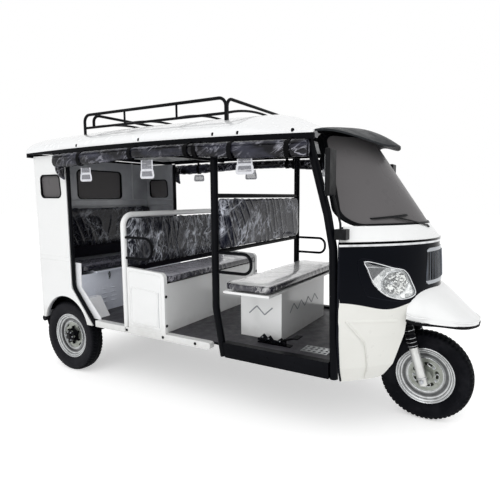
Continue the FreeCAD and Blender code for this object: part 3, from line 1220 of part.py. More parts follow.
def curtains():
    """Vinyl side curtains rolled up and strapped under the roof's edge, thinner where they are drawn up."""
    y = HALF_WIDTH + SEAT_GAP + ROLL_HALF_WIDTH
    shares = [(0, 0.92), (0.073, 0.99), (0.202, 0.93), (0.378, 0.75), (0.596, 0.71), (0.694, 0.875), (0.829, 1),
              (1, 0.92)]
    sections = []
    for along, deep in shares:
        x = ROLL_REAR + (ROLL_FRONT - ROLL_REAR) * along
        top = roof_at(x)[0] - ROOF_SHEET - TRIM_HEIGHT - SEAT_GAP * 3
        centre = V(x, y, top - ROLL_DEPTH * deep / 2)
        ellipse = Part.Ellipse(centre, ROLL_DEPTH * deep / 2, ROLL_HALF_WIDTH).toShape()
        ellipse.rotate(centre, V(0, 1, 0), 90)
        sections.append(Part.Wire(ellipse))
    save("side_curtains", *both_sides(Part.makeLoft(sections, True, True)))


def rear_fittings():
    """Tube bumper on two brackets, tail lamps and a blank number plate under the rear wall."""
    r = POST_TUBE
    x = -REAR_REACH + r
    z = RAIL_TOP - RAIL_HEIGHT / 2
    bar = rod(V(x, -HALF_WIDTH + WALL, z), V(x, HALF_WIDTH - WALL, z), r)
    bracket = block(x, -REAR_FACE + WALL, RAIL_SPREAD - FLOOR_SHEET, RAIL_SPREAD + FLOOR_SHEET, RAIL_TOP - RAIL_HEIGHT, RAIL_TOP)
    save("rear_bumper", fused([bar] + both_sides(bracket)))
    lamp = block(-REAR_FACE - TAIL_LAMP_DEPTH, -REAR_FACE - SEAT_GAP, HALF_WIDTH - WALL - TAIL_LAMP_WIDTH,
                 HALF_WIDTH - WALL, TAIL_LAMP_LOW, TAIL_LAMP_LOW + TAIL_LAMP_HIGH)
    save("tail_lamps", *both_sides(softened(lamp, TAIL_LAMP_DEPTH / 3)))
    plate = plate_yz(rectangle(-PLATE_HALF, PLATE_HALF, PLATE_LOW, PLATE_LOW + PLATE_HIGH), HUB_BORE_RADIUS,
                     -REAR_FACE - FLOOR_SHEET, -REAR_FACE - SEAT_GAP)
    holes = [Part.makeCylinder(PLATE_HOLE_RADIUS, OVERRUN, V(-REAR_FACE - OVERRUN / 2, y, PLATE_LOW + PLATE_HIGH - PLATE_HOLE_DROP),
                               V(1, 0, 0)) for y in (-PLATE_HOLE, PLATE_HOLE)]
    save("number_plate", plate.cut(holes))


def foot_controls():
    """Brake pedal on its floor bracket, and the perforated drain plate let into the mat."""
    top = FLOOR_TOP + MAT_SHEET + SEAT_GAP
    half = PEDAL_WIDTH / 2
    sheet = MAT_SHEET
    bracket = block(PEDAL_BACK, PEDAL_FRONT, -PEDAL_SIDE - half, -PEDAL_SIDE + half, top, top + sheet)
    post = block(PEDAL_FRONT - PEDAL_WIDTH * 2, PEDAL_FRONT - PEDAL_WIDTH, -PEDAL_SIDE - sheet, -PEDAL_SIDE + sheet,
                 top, top + PEDAL_RISE / 2)
    pivot = V(PEDAL_FRONT - PEDAL_WIDTH * 1.5, -PEDAL_SIDE, top + PEDAL_RISE / 2)
    arm = rod(pivot, V(PEDAL_FRONT + PEDAL_WIDTH, -PEDAL_SIDE, top + PEDAL_RISE), sheet)
    pad = block(PEDAL_FRONT + half, PEDAL_FRONT + PEDAL_WIDTH + half, -PEDAL_SIDE - PEDAL_WIDTH, -PEDAL_SIDE + PEDAL_WIDTH,
                top + PEDAL_RISE, top + PEDAL_RISE + sheet)
    axle = rod(pivot - V(0, half, 0), pivot + V(0, half, 0), sheet)
    save("pedals", fused([bracket, post, arm, pad, axle]))
    half = DRAIN_WIDTH / 2
    plate = block(DRAIN_BACK, DRAIN_FRONT, -DRAIN_SIDE - half, -DRAIN_SIDE + half, top, top + DRAIN_SHEET)
    rows, columns, hole_share = 3, 5, 0.3
    pitch_x, pitch_y = (DRAIN_FRONT - DRAIN_BACK) / columns, DRAIN_WIDTH / rows
    holes = [Part.makeCylinder(pitch_x * hole_share, DRAIN_SHEET, V(DRAIN_BACK + pitch_x * (i + 0.5),
                                                                  -DRAIN_SIDE - half + pitch_y * (j + 0.5), top))
             for i in range(columns) for j in range(rows)]
    save("drain_plate", plate.cut(holes))


def steering():
    """Raked telescopic fork, its stem through the steering head, and a swept handlebar."""
    up = V(-math.sin(math.radians(RAKE)), 0, math.cos(math.radians(RAKE)))
    sliders, boots = [], []
    for side in (-1, 1):
        y = side * FORK_SPREAD
        sliders.append(rod(steering_point(-SLIDER_RADIUS, y), steering_point(SLIDER_LENGTH, y), SLIDER_RADIUS))
        foot, length = steering_point(SLIDER_LENGTH + SEAT_GAP, y), YOKE_START - SLIDER_LENGTH - SEAT_GAP * 2
        boots.append(Part.makeCone(FORK_BOOT_RADIUS, FORK_BOOT_TOP_RADIUS, length, foot, up))
    reach = FORK_SPREAD + SLIDER_RADIUS
    bolt = rod(V(WHEELBASE, -reach, TYRE_RADIUS), V(WHEELBASE, reach, TYRE_RADIUS), AXLE_BOLT_RADIUS)
    spacers = both_sides(ring_y(WHEELBASE, FRONT_HUB_HALF + SEAT_GAP, FORK_SPREAD, STEM_RADIUS))
    save("fork_sliders", fused(sliders + [bolt] + spacers))
    save("fork_boots", *boots)
    half = FORK_SPREAD + FORK_BOOT_TOP_RADIUS
    corners = [steering_point(YOKE_START, s * half, a * HEAD_RADIUS) for s, a in ((-1, -1), (1, -1), (1, 1), (-1, 1))]
    round_share = 0.6
    yoke = Part.Face(rounded_wire(corners, HEAD_RADIUS * round_share, True)).extrude(up * YOKE_THICKNESS)
    stem = rod(steering_point(YOKE_START), steering_point(BAR_START), STEM_RADIUS)
    save("fork_yoke", fused([yoke, stem]))
    centre = BAR_START + BAR_TUBE
    bar_points = [steering_point(centre, side * BAR_HALF * share, -ahead)
                  for side, share, ahead in ((-1, 1, BAR_SWEEP), (-1, 0.5, BAR_TUBE), (1, 0.5, BAR_TUBE), (1, 1, BAR_SWEEP))]
    bar = tube(bar_points, BAR_TUBE, BAR_HALF / 4)
    clamp = rod(steering_point(BAR_START), steering_point(BAR_START + BAR_TUBE * 2), STEM_RADIUS * 4 / 3)
    grips = []
    for end, inside in (bar_points[:2], bar_points[:1:-1]):
        along = (inside - end).normalize()
        grips.append(rod(end, end + along * GRIP_LENGTH, GRIP_RADIUS))
    save("handlebar", fused([bar, clamp] + grips))


def main():
    os.makedirs("parts", exist_ok=True)
    chassis_frame()
    floor()
    rear_axle()
    rear_body()
    rear_bench()
    middle_bench()
    driver_bench()
    driver_hoop()
    save("door_posts", *front_posts(), *rear_posts())
    roof()
    visor()
    roof_rack()
    nose()
    windscreen()
    fender()
    mirrors()
    wiper()
    bulkhead()
    curtains()
    rear_fittings()
    foot_controls()
    steering()
    front_wheel()
    rear_wheels()


main()
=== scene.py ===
import bmesh
import bpy
import math
import numpy as np
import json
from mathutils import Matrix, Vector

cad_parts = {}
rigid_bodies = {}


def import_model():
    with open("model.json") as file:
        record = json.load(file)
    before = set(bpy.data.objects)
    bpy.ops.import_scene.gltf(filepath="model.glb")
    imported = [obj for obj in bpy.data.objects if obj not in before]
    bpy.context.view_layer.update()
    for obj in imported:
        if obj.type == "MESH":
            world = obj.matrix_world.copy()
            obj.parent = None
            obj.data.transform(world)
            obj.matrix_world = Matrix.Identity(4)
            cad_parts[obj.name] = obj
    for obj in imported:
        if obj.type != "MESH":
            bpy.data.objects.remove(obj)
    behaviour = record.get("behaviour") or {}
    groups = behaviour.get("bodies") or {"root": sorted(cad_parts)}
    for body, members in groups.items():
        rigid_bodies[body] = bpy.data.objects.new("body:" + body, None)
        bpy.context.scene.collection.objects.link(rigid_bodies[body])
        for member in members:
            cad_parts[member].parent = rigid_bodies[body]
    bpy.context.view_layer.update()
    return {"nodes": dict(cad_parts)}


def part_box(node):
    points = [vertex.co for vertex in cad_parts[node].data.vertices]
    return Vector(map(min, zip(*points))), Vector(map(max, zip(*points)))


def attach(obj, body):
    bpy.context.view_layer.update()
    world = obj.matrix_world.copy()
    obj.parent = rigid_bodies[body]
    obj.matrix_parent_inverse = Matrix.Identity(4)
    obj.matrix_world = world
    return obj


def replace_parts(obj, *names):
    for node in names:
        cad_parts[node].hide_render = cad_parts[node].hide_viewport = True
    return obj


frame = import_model()

# Ladder frame, floor pan, bulkhead, axle and bumper: welded steel tube, rail and sheet.
# All of it is powder-coated black, a satin skin with a fine grain and a thin bloom of dust in patches.
# Lengths are in metres, and x is counted from the rear axle: the frame's origin lies ORIGIN ahead of it.
ORIGIN = 1.215
NODES = frame["nodes"]
DUST_PATCH = 0.2


def srgb(code):
    """Colour written as hex digits, turned into the linear values that shaders take."""
    parts = [int(code[i:i + 2], 16) / 255 for i in (1, 3, 5)]
    return [c / 12.92 if c <= 0.04045 else ((c + 0.055) / 1.055) ** 2.4 for c in parts] + [1]


def shader_of(made):
    """Principled shader of a material."""
    return made.node_tree.nodes["Principled BSDF"]


def material(name, **values):
    """New material with one Principled shader; values set its sockets by name, _ standing for a space."""
    made = bpy.data.materials.new(name)
    made.use_nodes = True
    for key, value in values.items():
        socket = shader_of(made).inputs[key.replace("_", " ")]
        socket.default_value = srgb(value) if isinstance(value, str) else value
    return made


def add(made, kind, values=(), out=0, **settings):
    """Add one node and give one output; values are its inputs in use, in order or by name."""
    node = made.node_tree.nodes.new("ShaderNode" + kind)
    for key, value in settings.items():
        setattr(node, key, value)
    if isinstance(values, dict):
        pairs = [(node.inputs[key], value) for key, value in values.items()]
    else:
        pairs = zip([socket for socket in node.inputs if socket.enabled], values)
    for socket, value in pairs:
        if isinstance(value, bpy.types.NodeSocket):
            made.node_tree.links.new(value, socket)
        else:
            socket.default_value = srgb(value) if isinstance(value, str) else value
    in_use = [socket for socket in node.outputs if socket.enabled]
    return node.outputs[out] if isinstance(out, str) else in_use[out]


def place(made, stretch=(1, 1, 1), turn=(0, 0, 0)):
    """Object coordinates of the surface, turned and then stretched by a scale for each axis."""
    coord = add(made, "TexCoord", out="Object")
    if any(turn):
        coord = add(made, "Mapping", {"Vector": coord, "Rotation": turn})
    return add(made, "Mapping", {"Vector": coord, "Scale": stretch})


def cloud(made, size, detail=3, stretch=(1, 1, 1), rough=0.55, turn=(0, 0, 0), warp=0.0):
    """Cloudy pattern whose patches are about size metres across."""
    return add(made, "TexNoise", {"Vector": place(made, stretch, turn), "Scale": 1 / size, "Detail": detail,
                                  "Roughness": rough, "Distortion": warp})


def axis(made, which):
    """One coordinate of the surface, x counted from the rear axle as everywhere here."""
    value = add(made, "SeparateXYZ", [place(made)], "XYZ".index(which))
    return add(made, "Math", [value, ORIGIN], operation="ADD") if which == "X" else value


def plug(made, **sockets):
    """Join outputs to the Principled shader's sockets."""
    for key, value in sockets.items():
        made.node_tree.links.new(value, shader_of(made).inputs[key.replace("_", " ")])


def paint(made, share, second, first=None):
    """Base colour that goes from first, or from the colour already there, to second by a share."""
    if first is None:
        first = shader_of(made).inputs["Base Color"].links[0].from_socket
    plug(made, Base_Color=add(made, "Mix", [share, first, second], data_type="RGBA"))


def gloss(made, pattern, low, high):
    """Roughness that goes from low to high over the middle of a pattern's range."""
    plug(made, Roughness=add(made, "MapRange", [pattern, 0.3, 0.7, low, high]))


def relief(made, height, depth, strength=1.0):
    """Raise the surface by a height value times a depth in metres."""
    plug(made, Normal=add(made, "Bump", {"Height": height, "Distance": depth, "Strength": strength}))


def wear(made, colour, dirt, patch, amount, rough):
    """Large faint dirt patches in the colour and finer ones in the gloss."""
    paint(made, add(made, "MapRange", [cloud(made, patch, 5), 0.45, 0.8, 0.0, amount]), dirt, colour)
    gloss(made, cloud(made, patch / 6, 4), *rough)


def coated_steel(name, colour, rough=(0.26, 0.4), grain=0.003, dust="#16171c"):
    """Powder-coated steel: a grain 3 mm across, dust in patches, and a low specular that keeps it black."""
    made = material(name, Specular_IOR_Level=0.05)
    wear(made, colour, dust, DUST_PATCH, 0.5, rough)
    relief(made, cloud(made, grain, 2), grain / 12, 0.5)
    return made


def finish(made, *names):
    """Give CAD nodes their material."""
    for name in names:
        NODES[name].data.materials.clear()
        NODES[name].data.materials.append(made)


BLACK_STEEL = coated_steel("black_powder_coat", "#06070b")
finish(BLACK_STEEL, "chassis_frame", "floor_pan", "bulkhead", "rear_axle", "rear_bumper", "front_sills")

# Floor covering, drain plate, pedal and white sills.
# A moulded rubber mat lies on the pan, a punched aluminium plate is let into it at the driver's feet.
MAT_STUD = 0.009
ENAMEL_PATCH = 0.35
ROAD_DUST_LOW, ROAD_DUST_HIGH, ROAD_DUST_PATCH, ROAD_DUST_DRIFT = 0.32, 0.44, 0.06, 0.12


def mat_rubber():
    """Moulded floor rubber: low round pips 9 mm apart, scuffed paler where feet drag."""
    made = material("floor_mat_rubber", Specular_IOR_Level=0.35)
    pips = add(made, "TexVoronoi", {"Vector": place(made), "Scale": 1 / MAT_STUD, "Randomness": 0.0},
               "Distance", voronoi_dimensions="2D")
    paint(made, add(made, "MapRange", [cloud(made, 0.3, 5), 0.4, 0.75]), "#47464b", "#2f2e33")
    gloss(made, cloud(made, 0.05), 0.42, 0.62)
    relief(made, add(made, "MapRange", [pips, 0.2, 0.4, 1.0, 0.0]), 0.0006, 0.5)
    return made


def bright_metal(name, colour, rough, size=0.004, stretch=(1, 1, 1), stain="#6f7276"):
    """Bare or plated metal: fine working marks in the gloss, faint stains in the colour."""
    made = material(name, Metallic=1.0)
    marks = cloud(made, size, 4, stretch)
    paint(made, add(made, "MapRange", [cloud(made, 0.05, 4), 0.4, 0.8, 0, 0.5]), stain, colour)
    gloss(made, marks, rough - 0.05, rough + 0.1)
    relief(made, marks, 0.0001, 0.3)
    return made


def enamel(name, colour, dirt, rough=(0.16, 0.26), peel=0.012, coat=0.5, road=0.0, specular=0.4):
    """Sprayed gloss enamel: orange peel 12 mm across, faint dirt, and road dust low down if road is set."""
    made = material(name, Coat_Weight=coat, Coat_Roughness=0.06, Specular_IOR_Level=specular)
    wear(made, colour, dirt, ENAMEL_PATCH, 0.35, rough)
    if road:
        drift = add(made, "Math", [cloud(made, ROAD_DUST_PATCH, 5), -ROAD_DUST_DRIFT], operation="MULTIPLY")
        splash = add(made, "Math", [axis(made, "Z"), drift], operation="ADD")
        paint(made, add(made, "MapRange", [splash, ROAD_DUST_LOW, ROAD_DUST_HIGH, road, 0.0]), "#8d8a82")
    relief(made, cloud(made, peel, 2), 0.0002, 0.5)
    return made


WHITE = enamel("white_body_enamel", "#eeefef", "#dcdddc", road=0.35)
finish(mat_rubber(), "floor_mat")
finish(bright_metal("punched_aluminium", "#c3c5c6", 0.3, stretch=(1, 12, 1)), "drain_plate")
finish(coated_steel("pedal_black_enamel", "#060608", (0.16, 0.3)), "pedals")
finish(WHITE, "side_sills")

# Three wheels: cross-ply tyres on pressed steel rims in silver enamel, the rear hubs cast and painted black.
# The tyres are moulded with wavy grooves and open shoulder slots, and are dusty off the tread.
AXLE_HEIGHT = 0.265
WHEELBASE = 2.480
TRACK_HALF = 0.501
LUGS = 60
STEPS_PER_LUG = 7
TREAD_DEPTH = 0.0065
SECTION_STEPS = 64
TYRE_HALF_SECTION = [(0.1523, 0.0285), (0.160, 0.0335), (0.168, 0.0350), (0.182, 0.0450), (0.200, 0.0512),
                     (0.217, 0.0524), (0.236, 0.0505), (0.2500, 0.0462), (0.2585, 0.0395), (0.2628, 0.030),
                     (0.2645, 0.016), (0.265, 0.0)]
WALL_RIBS, RIB_HEIGHT, RIB_HALF = (0.179, 0.190, 0.228), 0.0012, 0.0014
SLOT_SLANT, SLOT_FROM, GROOVE_AT, GROOVE_WAVE, GROOVE_HALF = 40, 0.021, 0.013, 0.0025, 0.0016
CROWN_FROM, CROWN_BLEND = 0.246, 0.006
RIM_LIP = (0.1645, 0.0336, 0.0032)
RIM_STEPS = ((0.1498, 0.0285, 0.0022), (0.1030, 0.0130, 0.0030))
AHEAD, ACROSS, UP = (1, 0, 0), (0, 1, 0), (0, 0, 1)


def linked(name, data):
    """Object for a mesh, lamp or camera, put into the scene."""
    made = bpy.data.objects.new(name, data)
    bpy.context.scene.collection.objects.link(made)
    return made


def settle(name, mesh, made, body="root", sharp=38):
    """Object for a mesh, shaded smooth but for edges sharper than an angle, riding on its body."""
    mesh.polygons.foreach_set("use_smooth", np.ones(len(mesh.polygons), bool))
    mesh.set_sharp_from_angle(angle=math.radians(sharp))
    mesh.materials.clear()
    mesh.materials.append(made)
    piece = linked(name, mesh)
    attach(piece, body)
    return piece


def surface(name, grids, made, body="root", sharp=38):
    """One piece made of several grids of points, each given as (points, kind).

    A sheet has open edges, a tube is closed round its columns with flat ends, a ring is closed both ways."""
    vertices, faces, start = [], [], 0
    for points, kind in grids:
        rows, columns = points.shape[:2]
        index = np.arange(rows * columns).reshape(rows, columns) + start
        if kind != "sheet":
            index = np.hstack([index, index[:, :1]])
        if kind == "ring":
            index = np.vstack([index, index[:1]])
        corners = [index[:-1, :-1], index[:-1, 1:], index[1:, 1:], index[1:, :-1]]
        faces += np.stack(corners, -1).reshape(-1, 4).tolist()
        if kind == "tube":
            faces += [index[0, -2::-1].tolist(), index[-1, :-1].tolist()]
        vertices.append(points.reshape(-1, 3))
        start += rows * columns
    mesh = bpy.data.meshes.new(name)
    mesh.from_pydata((np.concatenate(vertices) - (ORIGIN, 0, 0)).tolist(), [], faces)
    shell = bmesh.new()
    shell.from_mesh(mesh)
    bmesh.ops.remove_doubles(shell, verts=shell.verts, dist=1e-6)
    bmesh.ops.recalc_face_normals(shell, faces=shell.faces)
    shell.to_mesh(mesh)
    shell.free()
    return settle(name, mesh, made, body, sharp)


def unit(vector):
    """Vectors shortened to length 1."""
    return vector / np.linalg.norm(vector, axis=-1, keepdims=True)


def circle(count):
    """Angles evenly round a circle."""
    return np.linspace(0, 2 * np.pi, count, endpoint=False)


def turned(profile, centre, along=ACROSS, count=48, wave=0.0, waves=0, kind="tube"):
    """Profile of (radius, distance) pairs turned round an axis a through a centre c.

    A point is c + d a + r (1 + wave cos(waves t)) (cos t e + sin t f), e and f being square to a."""
    radius, distance = np.array(profile, float).T
    along = unit(np.array(along, float))
    first = unit(np.cross(along, AHEAD if abs(along[0]) < 0.9 else UP))
    second = np.cross(along, first)
    angle = circle(count)
    spoke = np.outer(np.cos(angle), first) + np.outer(np.sin(angle), second)
    spoke = spoke * (1 + wave * np.cos(waves * angle))[:, None]
    return np.array(centre) + distance[:, None, None] * along + radius[:, None, None] * spoke, kind


def bar(path, radius, up=ACROSS, flat=1.0, count=8, closed=False):
    """Bar along a path, each ring being p + r (cos t side + flat sin t lift), side square to path and up."""
    path = np.array(path, float)
    run = np.roll(path, -1, 0) - np.roll(path, 1, 0) if closed else np.gradient(path, axis=0)
    side = unit(np.cross(unit(run), up))
    lift = np.cross(side, unit(run))
    angle = circle(count)
    ring = np.cos(angle)[:, None] * side[:, None] + flat * np.sin(angle)[:, None] * lift[:, None]
    return path[:, None] + np.reshape(radius, (-1, 1, 1)) * ring, "ring" if closed else "tube"


def rounded(points, radius=9.0, closed=False, steps=6):
    """Path whose corners p are parabolas (1-t)(1-t) u + 2t(1-t) p + t t v.

    The ends u and v lie a radius off the corner, or half a run where that is less."""
    points = np.array(points, float)
    share = np.linspace(0, 1, steps)[:, None]
    bends = []
    for before, corner, after in zip(np.roll(points, 1, 0), points, np.roll(points, -1, 0)):
        start = corner + (before - corner) * min(radius / np.linalg.norm(before - corner), 0.5)
        end = corner + (after - corner) * min(radius / np.linalg.norm(after - corner), 0.5)
        bends.append((1 - share) ** 2 * start + 2 * share * (1 - share) * corner + share ** 2 * end)
    if not closed:
        bends[0], bends[-1] = points[:1], points[-1:]
    return np.concatenate(bends)


def through(points, steps=8):
    """Closed smooth curve through points: each run is a Catmull-Rom cubic of its four nearest points."""
    a, b, c, d = (np.roll(np.array(points, float), k, 0)[:, None] for k in (1, 0, -1, -2))
    t = np.linspace(0, 1, steps, endpoint=False)[None, :, None]
    run = b + 0.5 * ((c - a) * t + (2 * a - 5 * b + 4 * c - d) * t ** 2 + (3 * b - a - 3 * c + d) * t ** 3)
    return run.reshape(-1, a.shape[-1])


def mirrored(points):
    """The same places on the other side of the vehicle."""
    return points * np.array([1, -1, 1])


def tyre_grid(x, y):
    """Tyre section turned round the axle; the radius drops by the tread depth in slots and grooves.

    A slot runs across a shoulder where cos(lugs t + slant w) is high, a groove where |w| is near a wave."""
    section = np.array(TYRE_HALF_SECTION + [(r, -w) for r, w in TYRE_HALF_SECTION[-2::-1]])
    reach = np.r_[0, np.cumsum(np.linalg.norm(np.diff(section, axis=0), axis=1))]
    steps = np.linspace(0, reach[-1], SECTION_STEPS)
    radius, width = np.interp(steps, reach, section[:, 0]), np.interp(steps, reach, section[:, 1])
    ribs = sum(RIB_HEIGHT * np.exp(-((radius - r) / RIB_HALF) ** 2) for r in WALL_RIBS)
    width = width + np.sign(width) * ribs
    angle = circle(LUGS * STEPS_PER_LUG)[:, None]
    across = np.abs(width)
    slot = np.clip((np.cos(LUGS * angle + SLOT_SLANT * width) - 0.25) / 0.3, 0, 1)
    slot = slot * np.clip((across - SLOT_FROM) / 0.003, 0, 1)
    off = np.abs(across - GROOVE_AT - GROOVE_WAVE * np.sin(LUGS / 2 * angle))
    groove = np.clip(2 - off / GROOVE_HALF, 0, 1)
    crown = np.clip((radius - CROWN_FROM) / CROWN_BLEND, 0, 1)
    deep = radius - TREAD_DEPTH * np.maximum(slot, groove) * crown
    points = [x + deep * np.cos(angle), y + width + 0 * angle, AXLE_HEIGHT + deep * np.sin(angle)]
    return np.stack(points, -1), "ring"


def rubber(name, colour, rough=(0.5, 0.68), dust="#1b1b1f"):
    """Moulded rubber: a fine pebbled skin and a dusty bloom."""
    made = material(name, Specular_IOR_Level=0.06)
    wear(made, colour, dust, 0.08, 0.6, rough)
    relief(made, cloud(made, 0.004), 0.0004, 0.6)
    return made


def axle_radius(made, x):
    """Distance of the surface from an axle at x: the length of (x - axle, 0, z - axle height)."""
    ahead = add(made, "Math", [axis(made, "X"), x], operation="SUBTRACT")
    above = add(made, "Math", [axis(made, "Z"), AXLE_HEIGHT], operation="SUBTRACT")
    return add(made, "VectorMath", [add(made, "CombineXYZ", [ahead, 0.0, above])], operation="LENGTH")


def tyre_rubber(name, x, wall):
    """Tyre rubber: the side walls greyer with dust than the tread, told apart by their radius."""
    made = rubber(name, wall, dust="#26262a")
    paint(made, add(made, "MapRange", [axle_radius(made, x), 0.240, 0.254]), "#05060a")
    return made


def wheel_enamel(name, x):
    """Silver enamel: bright on the flange and the disc's rings, painted shade in the well between them and
    along two groove lines, and brake dust in patches.
    """
    made = material(name, Metallic=0.8)
    radius = axle_radius(made, x)
    inner, outer = (add(made, "MapRange", [radius, *limits]) for limits in ((0.106, 0.116), (0.136, 0.130)))
    # Painted shade: the well between disc and seat, and two thin rings where grooves run, are darkened as if
    # shade fell there.
    corner = add(made, "Math", [inner, outer], operation="MULTIPLY")
    for ring, half in ((0.1565, 0.0014), (0.1435, 0.0022)):
        off = add(made, "Math", [radius, ring], operation="SUBTRACT")
        off = add(made, "Math", [off], operation="ABSOLUTE")
        near = add(made, "MapRange", [off, half, half + 0.0007, 0.9, 0.0])
        corner = add(made, "Math", [corner, near], operation="MAXIMUM")
    paint(made, add(made, "MapRange", [radius, 0.096, 0.101]), "#c4c6c7", "#979b94")
    paint(made, add(made, "MapRange", [cloud(made, 0.03, 6), 0.42, 0.75, 0.0, 0.5]), "#5f5e58")
    # This paints the shade dark into the well and the groove rings.
    paint(made, add(made, "Math", [corner, 0.82], operation="MULTIPLY"), "#1c1d1f")
    gloss(made, cloud(made, 0.002, 1), 0.26, 0.42)
    relief(made, cloud(made, 0.006), 0.0003, 0.4)
    return made


def nut(centre, along, across=0.008, height=0.009):
    """Six-sided nut with a bolt's end standing out of it."""
    body = [(across, 0), (across, height * 0.85), (across * 0.86, height)]
    end = [(across * 0.5, 0), (across * 0.5, height * 1.5), (across * 0.36, height * 1.62)]
    return [turned(body, centre, along, 6), turned(end, centre, along, 12)]


def round_axle(x, y, radius, angle):
    """Places round an axle at a radius: (x + r cos t, y, axle height + r sin t)."""
    angle = np.asarray(angle, float)
    return np.stack([x + radius * np.cos(angle), y + 0 * angle, AXLE_HEIGHT + radius * np.sin(angle)], -1)


RIM_BRIGHT = bright_metal("rolled_rim_edge", "#d5d7d8", 0.2)
HUB_IRON = coated_steel("hub_black_enamel", "#060607", (0.2, 0.34), 0.005)
ZINC = bright_metal("zinc_plated_bolt", "#b9bcc0", 0.26)
FRONT_WALL, REAR_WALL = "#08090e", "#1b1b1f"
WHEELS = [("front", "front_wheel", "front_tyre", FRONT_WALL, WHEELBASE, 0.0, "front_wheel_body", (-1, 1)),
          ("rear_right", "rear_wheel_right", "rear_tyre_right", REAR_WALL, 0.0, -TRACK_HALF,
           "rear_wheel_right_body", (-1,)),
          ("rear_left", "rear_wheel_left", "rear_tyre_left", REAR_WALL, 0.0, TRACK_HALF,
           "rear_wheel_left_body", (1,))]
for name, node, tyre, wall, x, y, body, faces in WHEELS:
    moulded = tyre_rubber(name + "_tyre_rubber", x, wall)
    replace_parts(surface(name + "_treaded_tyre", [tyre_grid(x, y)], moulded, body, 50), tyre)
    finish(wheel_enamel(name + "_wheel_enamel", x), node)
    rings = [(RIM_LIP, face) for face in (-1, 1)] + [(ring, face) for face in faces for ring in RIM_STEPS]
    lips = [bar(round_axle(x, y + face * out, radius, circle(96)), thick, closed=True)
            for (radius, out, thick), face in rings]
    surface(name + "_rim_edges", lips, RIM_BRIGHT, body)

KIDNEYS = 5
KIDNEY_SWEEP = 2 * math.pi * 0.34 / KIDNEYS
KIDNEY_OUTER, KIDNEY_INNER, KIDNEY_MIDDLE, KIDNEY_END = 0.076, 0.056, 0.066, 0.010
KIDNEY_RIM, DISC_FACES = 0.0017, (-0.0072, 0.0002)
BOLT_LAG = math.pi / KIDNEYS * 1.3
nuts, kidney_rims = [], []
for i in range(KIDNEYS):
    start = -2 * math.pi * i / KIDNEYS
    stop = start - KIDNEY_SWEEP
    runs = []
    for reach, begin, end, lean in ((KIDNEY_OUTER, start, stop, 0), (KIDNEY_INNER, stop, start, np.pi)):
        runs.append(round_axle(WHEELBASE, 0, reach, np.linspace(begin, end, 10)))
        turn = np.linspace(0, np.pi, 9)[1:-1] + lean
        outward, onward = (round_axle(0, 0, 1, end + more) - (0, 0, AXLE_HEIGHT) for more in (0, np.pi / 2))
        bend = np.outer(np.cos(turn), outward) - np.outer(np.sin(turn), onward)
        runs.append(round_axle(WHEELBASE, 0, KIDNEY_MIDDLE, end) + KIDNEY_END * bend)
    for y in DISC_FACES:
        kidney_rims.append(bar(np.concatenate(runs) + (0, y, 0), KIDNEY_RIM, closed=True))
    for side in (-1, 1):
        spot = round_axle(WHEELBASE, side * 0.0035 - 0.0035, KIDNEY_MIDDLE, start + BOLT_LAG)
        nuts += nut(spot, (0, side, 0), 0.006, 0.007)
surface("front_kidney_rims", kidney_rims, RIM_BRIGHT, "front_wheel_body")
surface("front_disc_bolts", nuts, ZINC, "front_wheel_body")

# Front brake drum: ribbed cast iron behind the disc, seen dark through the five openings.
# It is turned, with a groove round its middle, and goes round with the wheel.
DRUM = [(0.088, 0.004), (0.090, 0.010), (0.090, 0.018), (0.086, 0.020), (0.086, 0.024), (0.090, 0.026),
        (0.090, 0.036), (0.082, 0.044), (0.046, 0.046)]
surface("front_brake_drum", [turned(DRUM, (WHEELBASE, 0, AXLE_HEIGHT), count=64)],
        coated_steel("drum_cast_iron", "#33352f", (0.4, 0.6), 0.002, dust="#4a4c44"), "front_wheel_body")

# Rear hubs: lobed black castings over the half shafts, bolted through the wheel's disc.
# Six nuts hold each wheel, six smaller bolts the cover, and the disc has four slots near its rim, drawn as
# flat black patches of painted shade.
HUB_COVER = [(0.052, 0.0075), (0.0515, 0.020), (0.047, 0.036), (0.045, 0.0425), (0.030, 0.0455),
             (0.010, 0.046)]
HUB_CORE = [(0.020, 0.044), (0.020, 0.0495), (0.016, 0.0515)]
HUB_BOLTS = 6
HUB_LOBE = 0.085
DISC_SLOTS = 4
slot_width = 0.0055 * np.sin(np.linspace(0.3, np.pi - 0.3, 12))
for name, node, tyre, wall, x, y, body, (side,) in WHEELS[1:]:
    centre, along = (x, y, AXLE_HEIGHT), (0, side, 0)
    castings = [turned(HUB_COVER, centre, along, 72, HUB_LOBE, HUB_BOLTS)]
    castings.append(turned(HUB_CORE, centre, along, 24))
    studs, lugs, slots = [], [], []
    for angle in circle(HUB_BOLTS) + math.pi / HUB_BOLTS:
        studs += nut(round_axle(x, y + side * 0.0075, 0.0625, angle), along, 0.0085, 0.010)
        lugs += nut(round_axle(x, y + side * 0.0445, 0.033, angle + 0.5), along, 0.0055, 0.006)
    # Painted shade: each slot is a thin black patch on the disc, standing for the shade inside the opening.
    for angle in circle(DISC_SLOTS) + math.pi / DISC_SLOTS:
        arc = round_axle(x, y + side * 0.0082, 0.0885, np.linspace(-0.2, 0.2, 12) + angle)
        slots.append(bar(arc, slot_width, flat=0.14, count=10))
    for part, grids, made in (("_hub_casting", castings, HUB_IRON), ("_wheel_nuts", studs, HUB_IRON),
                              ("_hub_bolts", lugs, ZINC), ("_disc_slots", slots, HUB_IRON)):
        surface(name + part, grids, made, body)

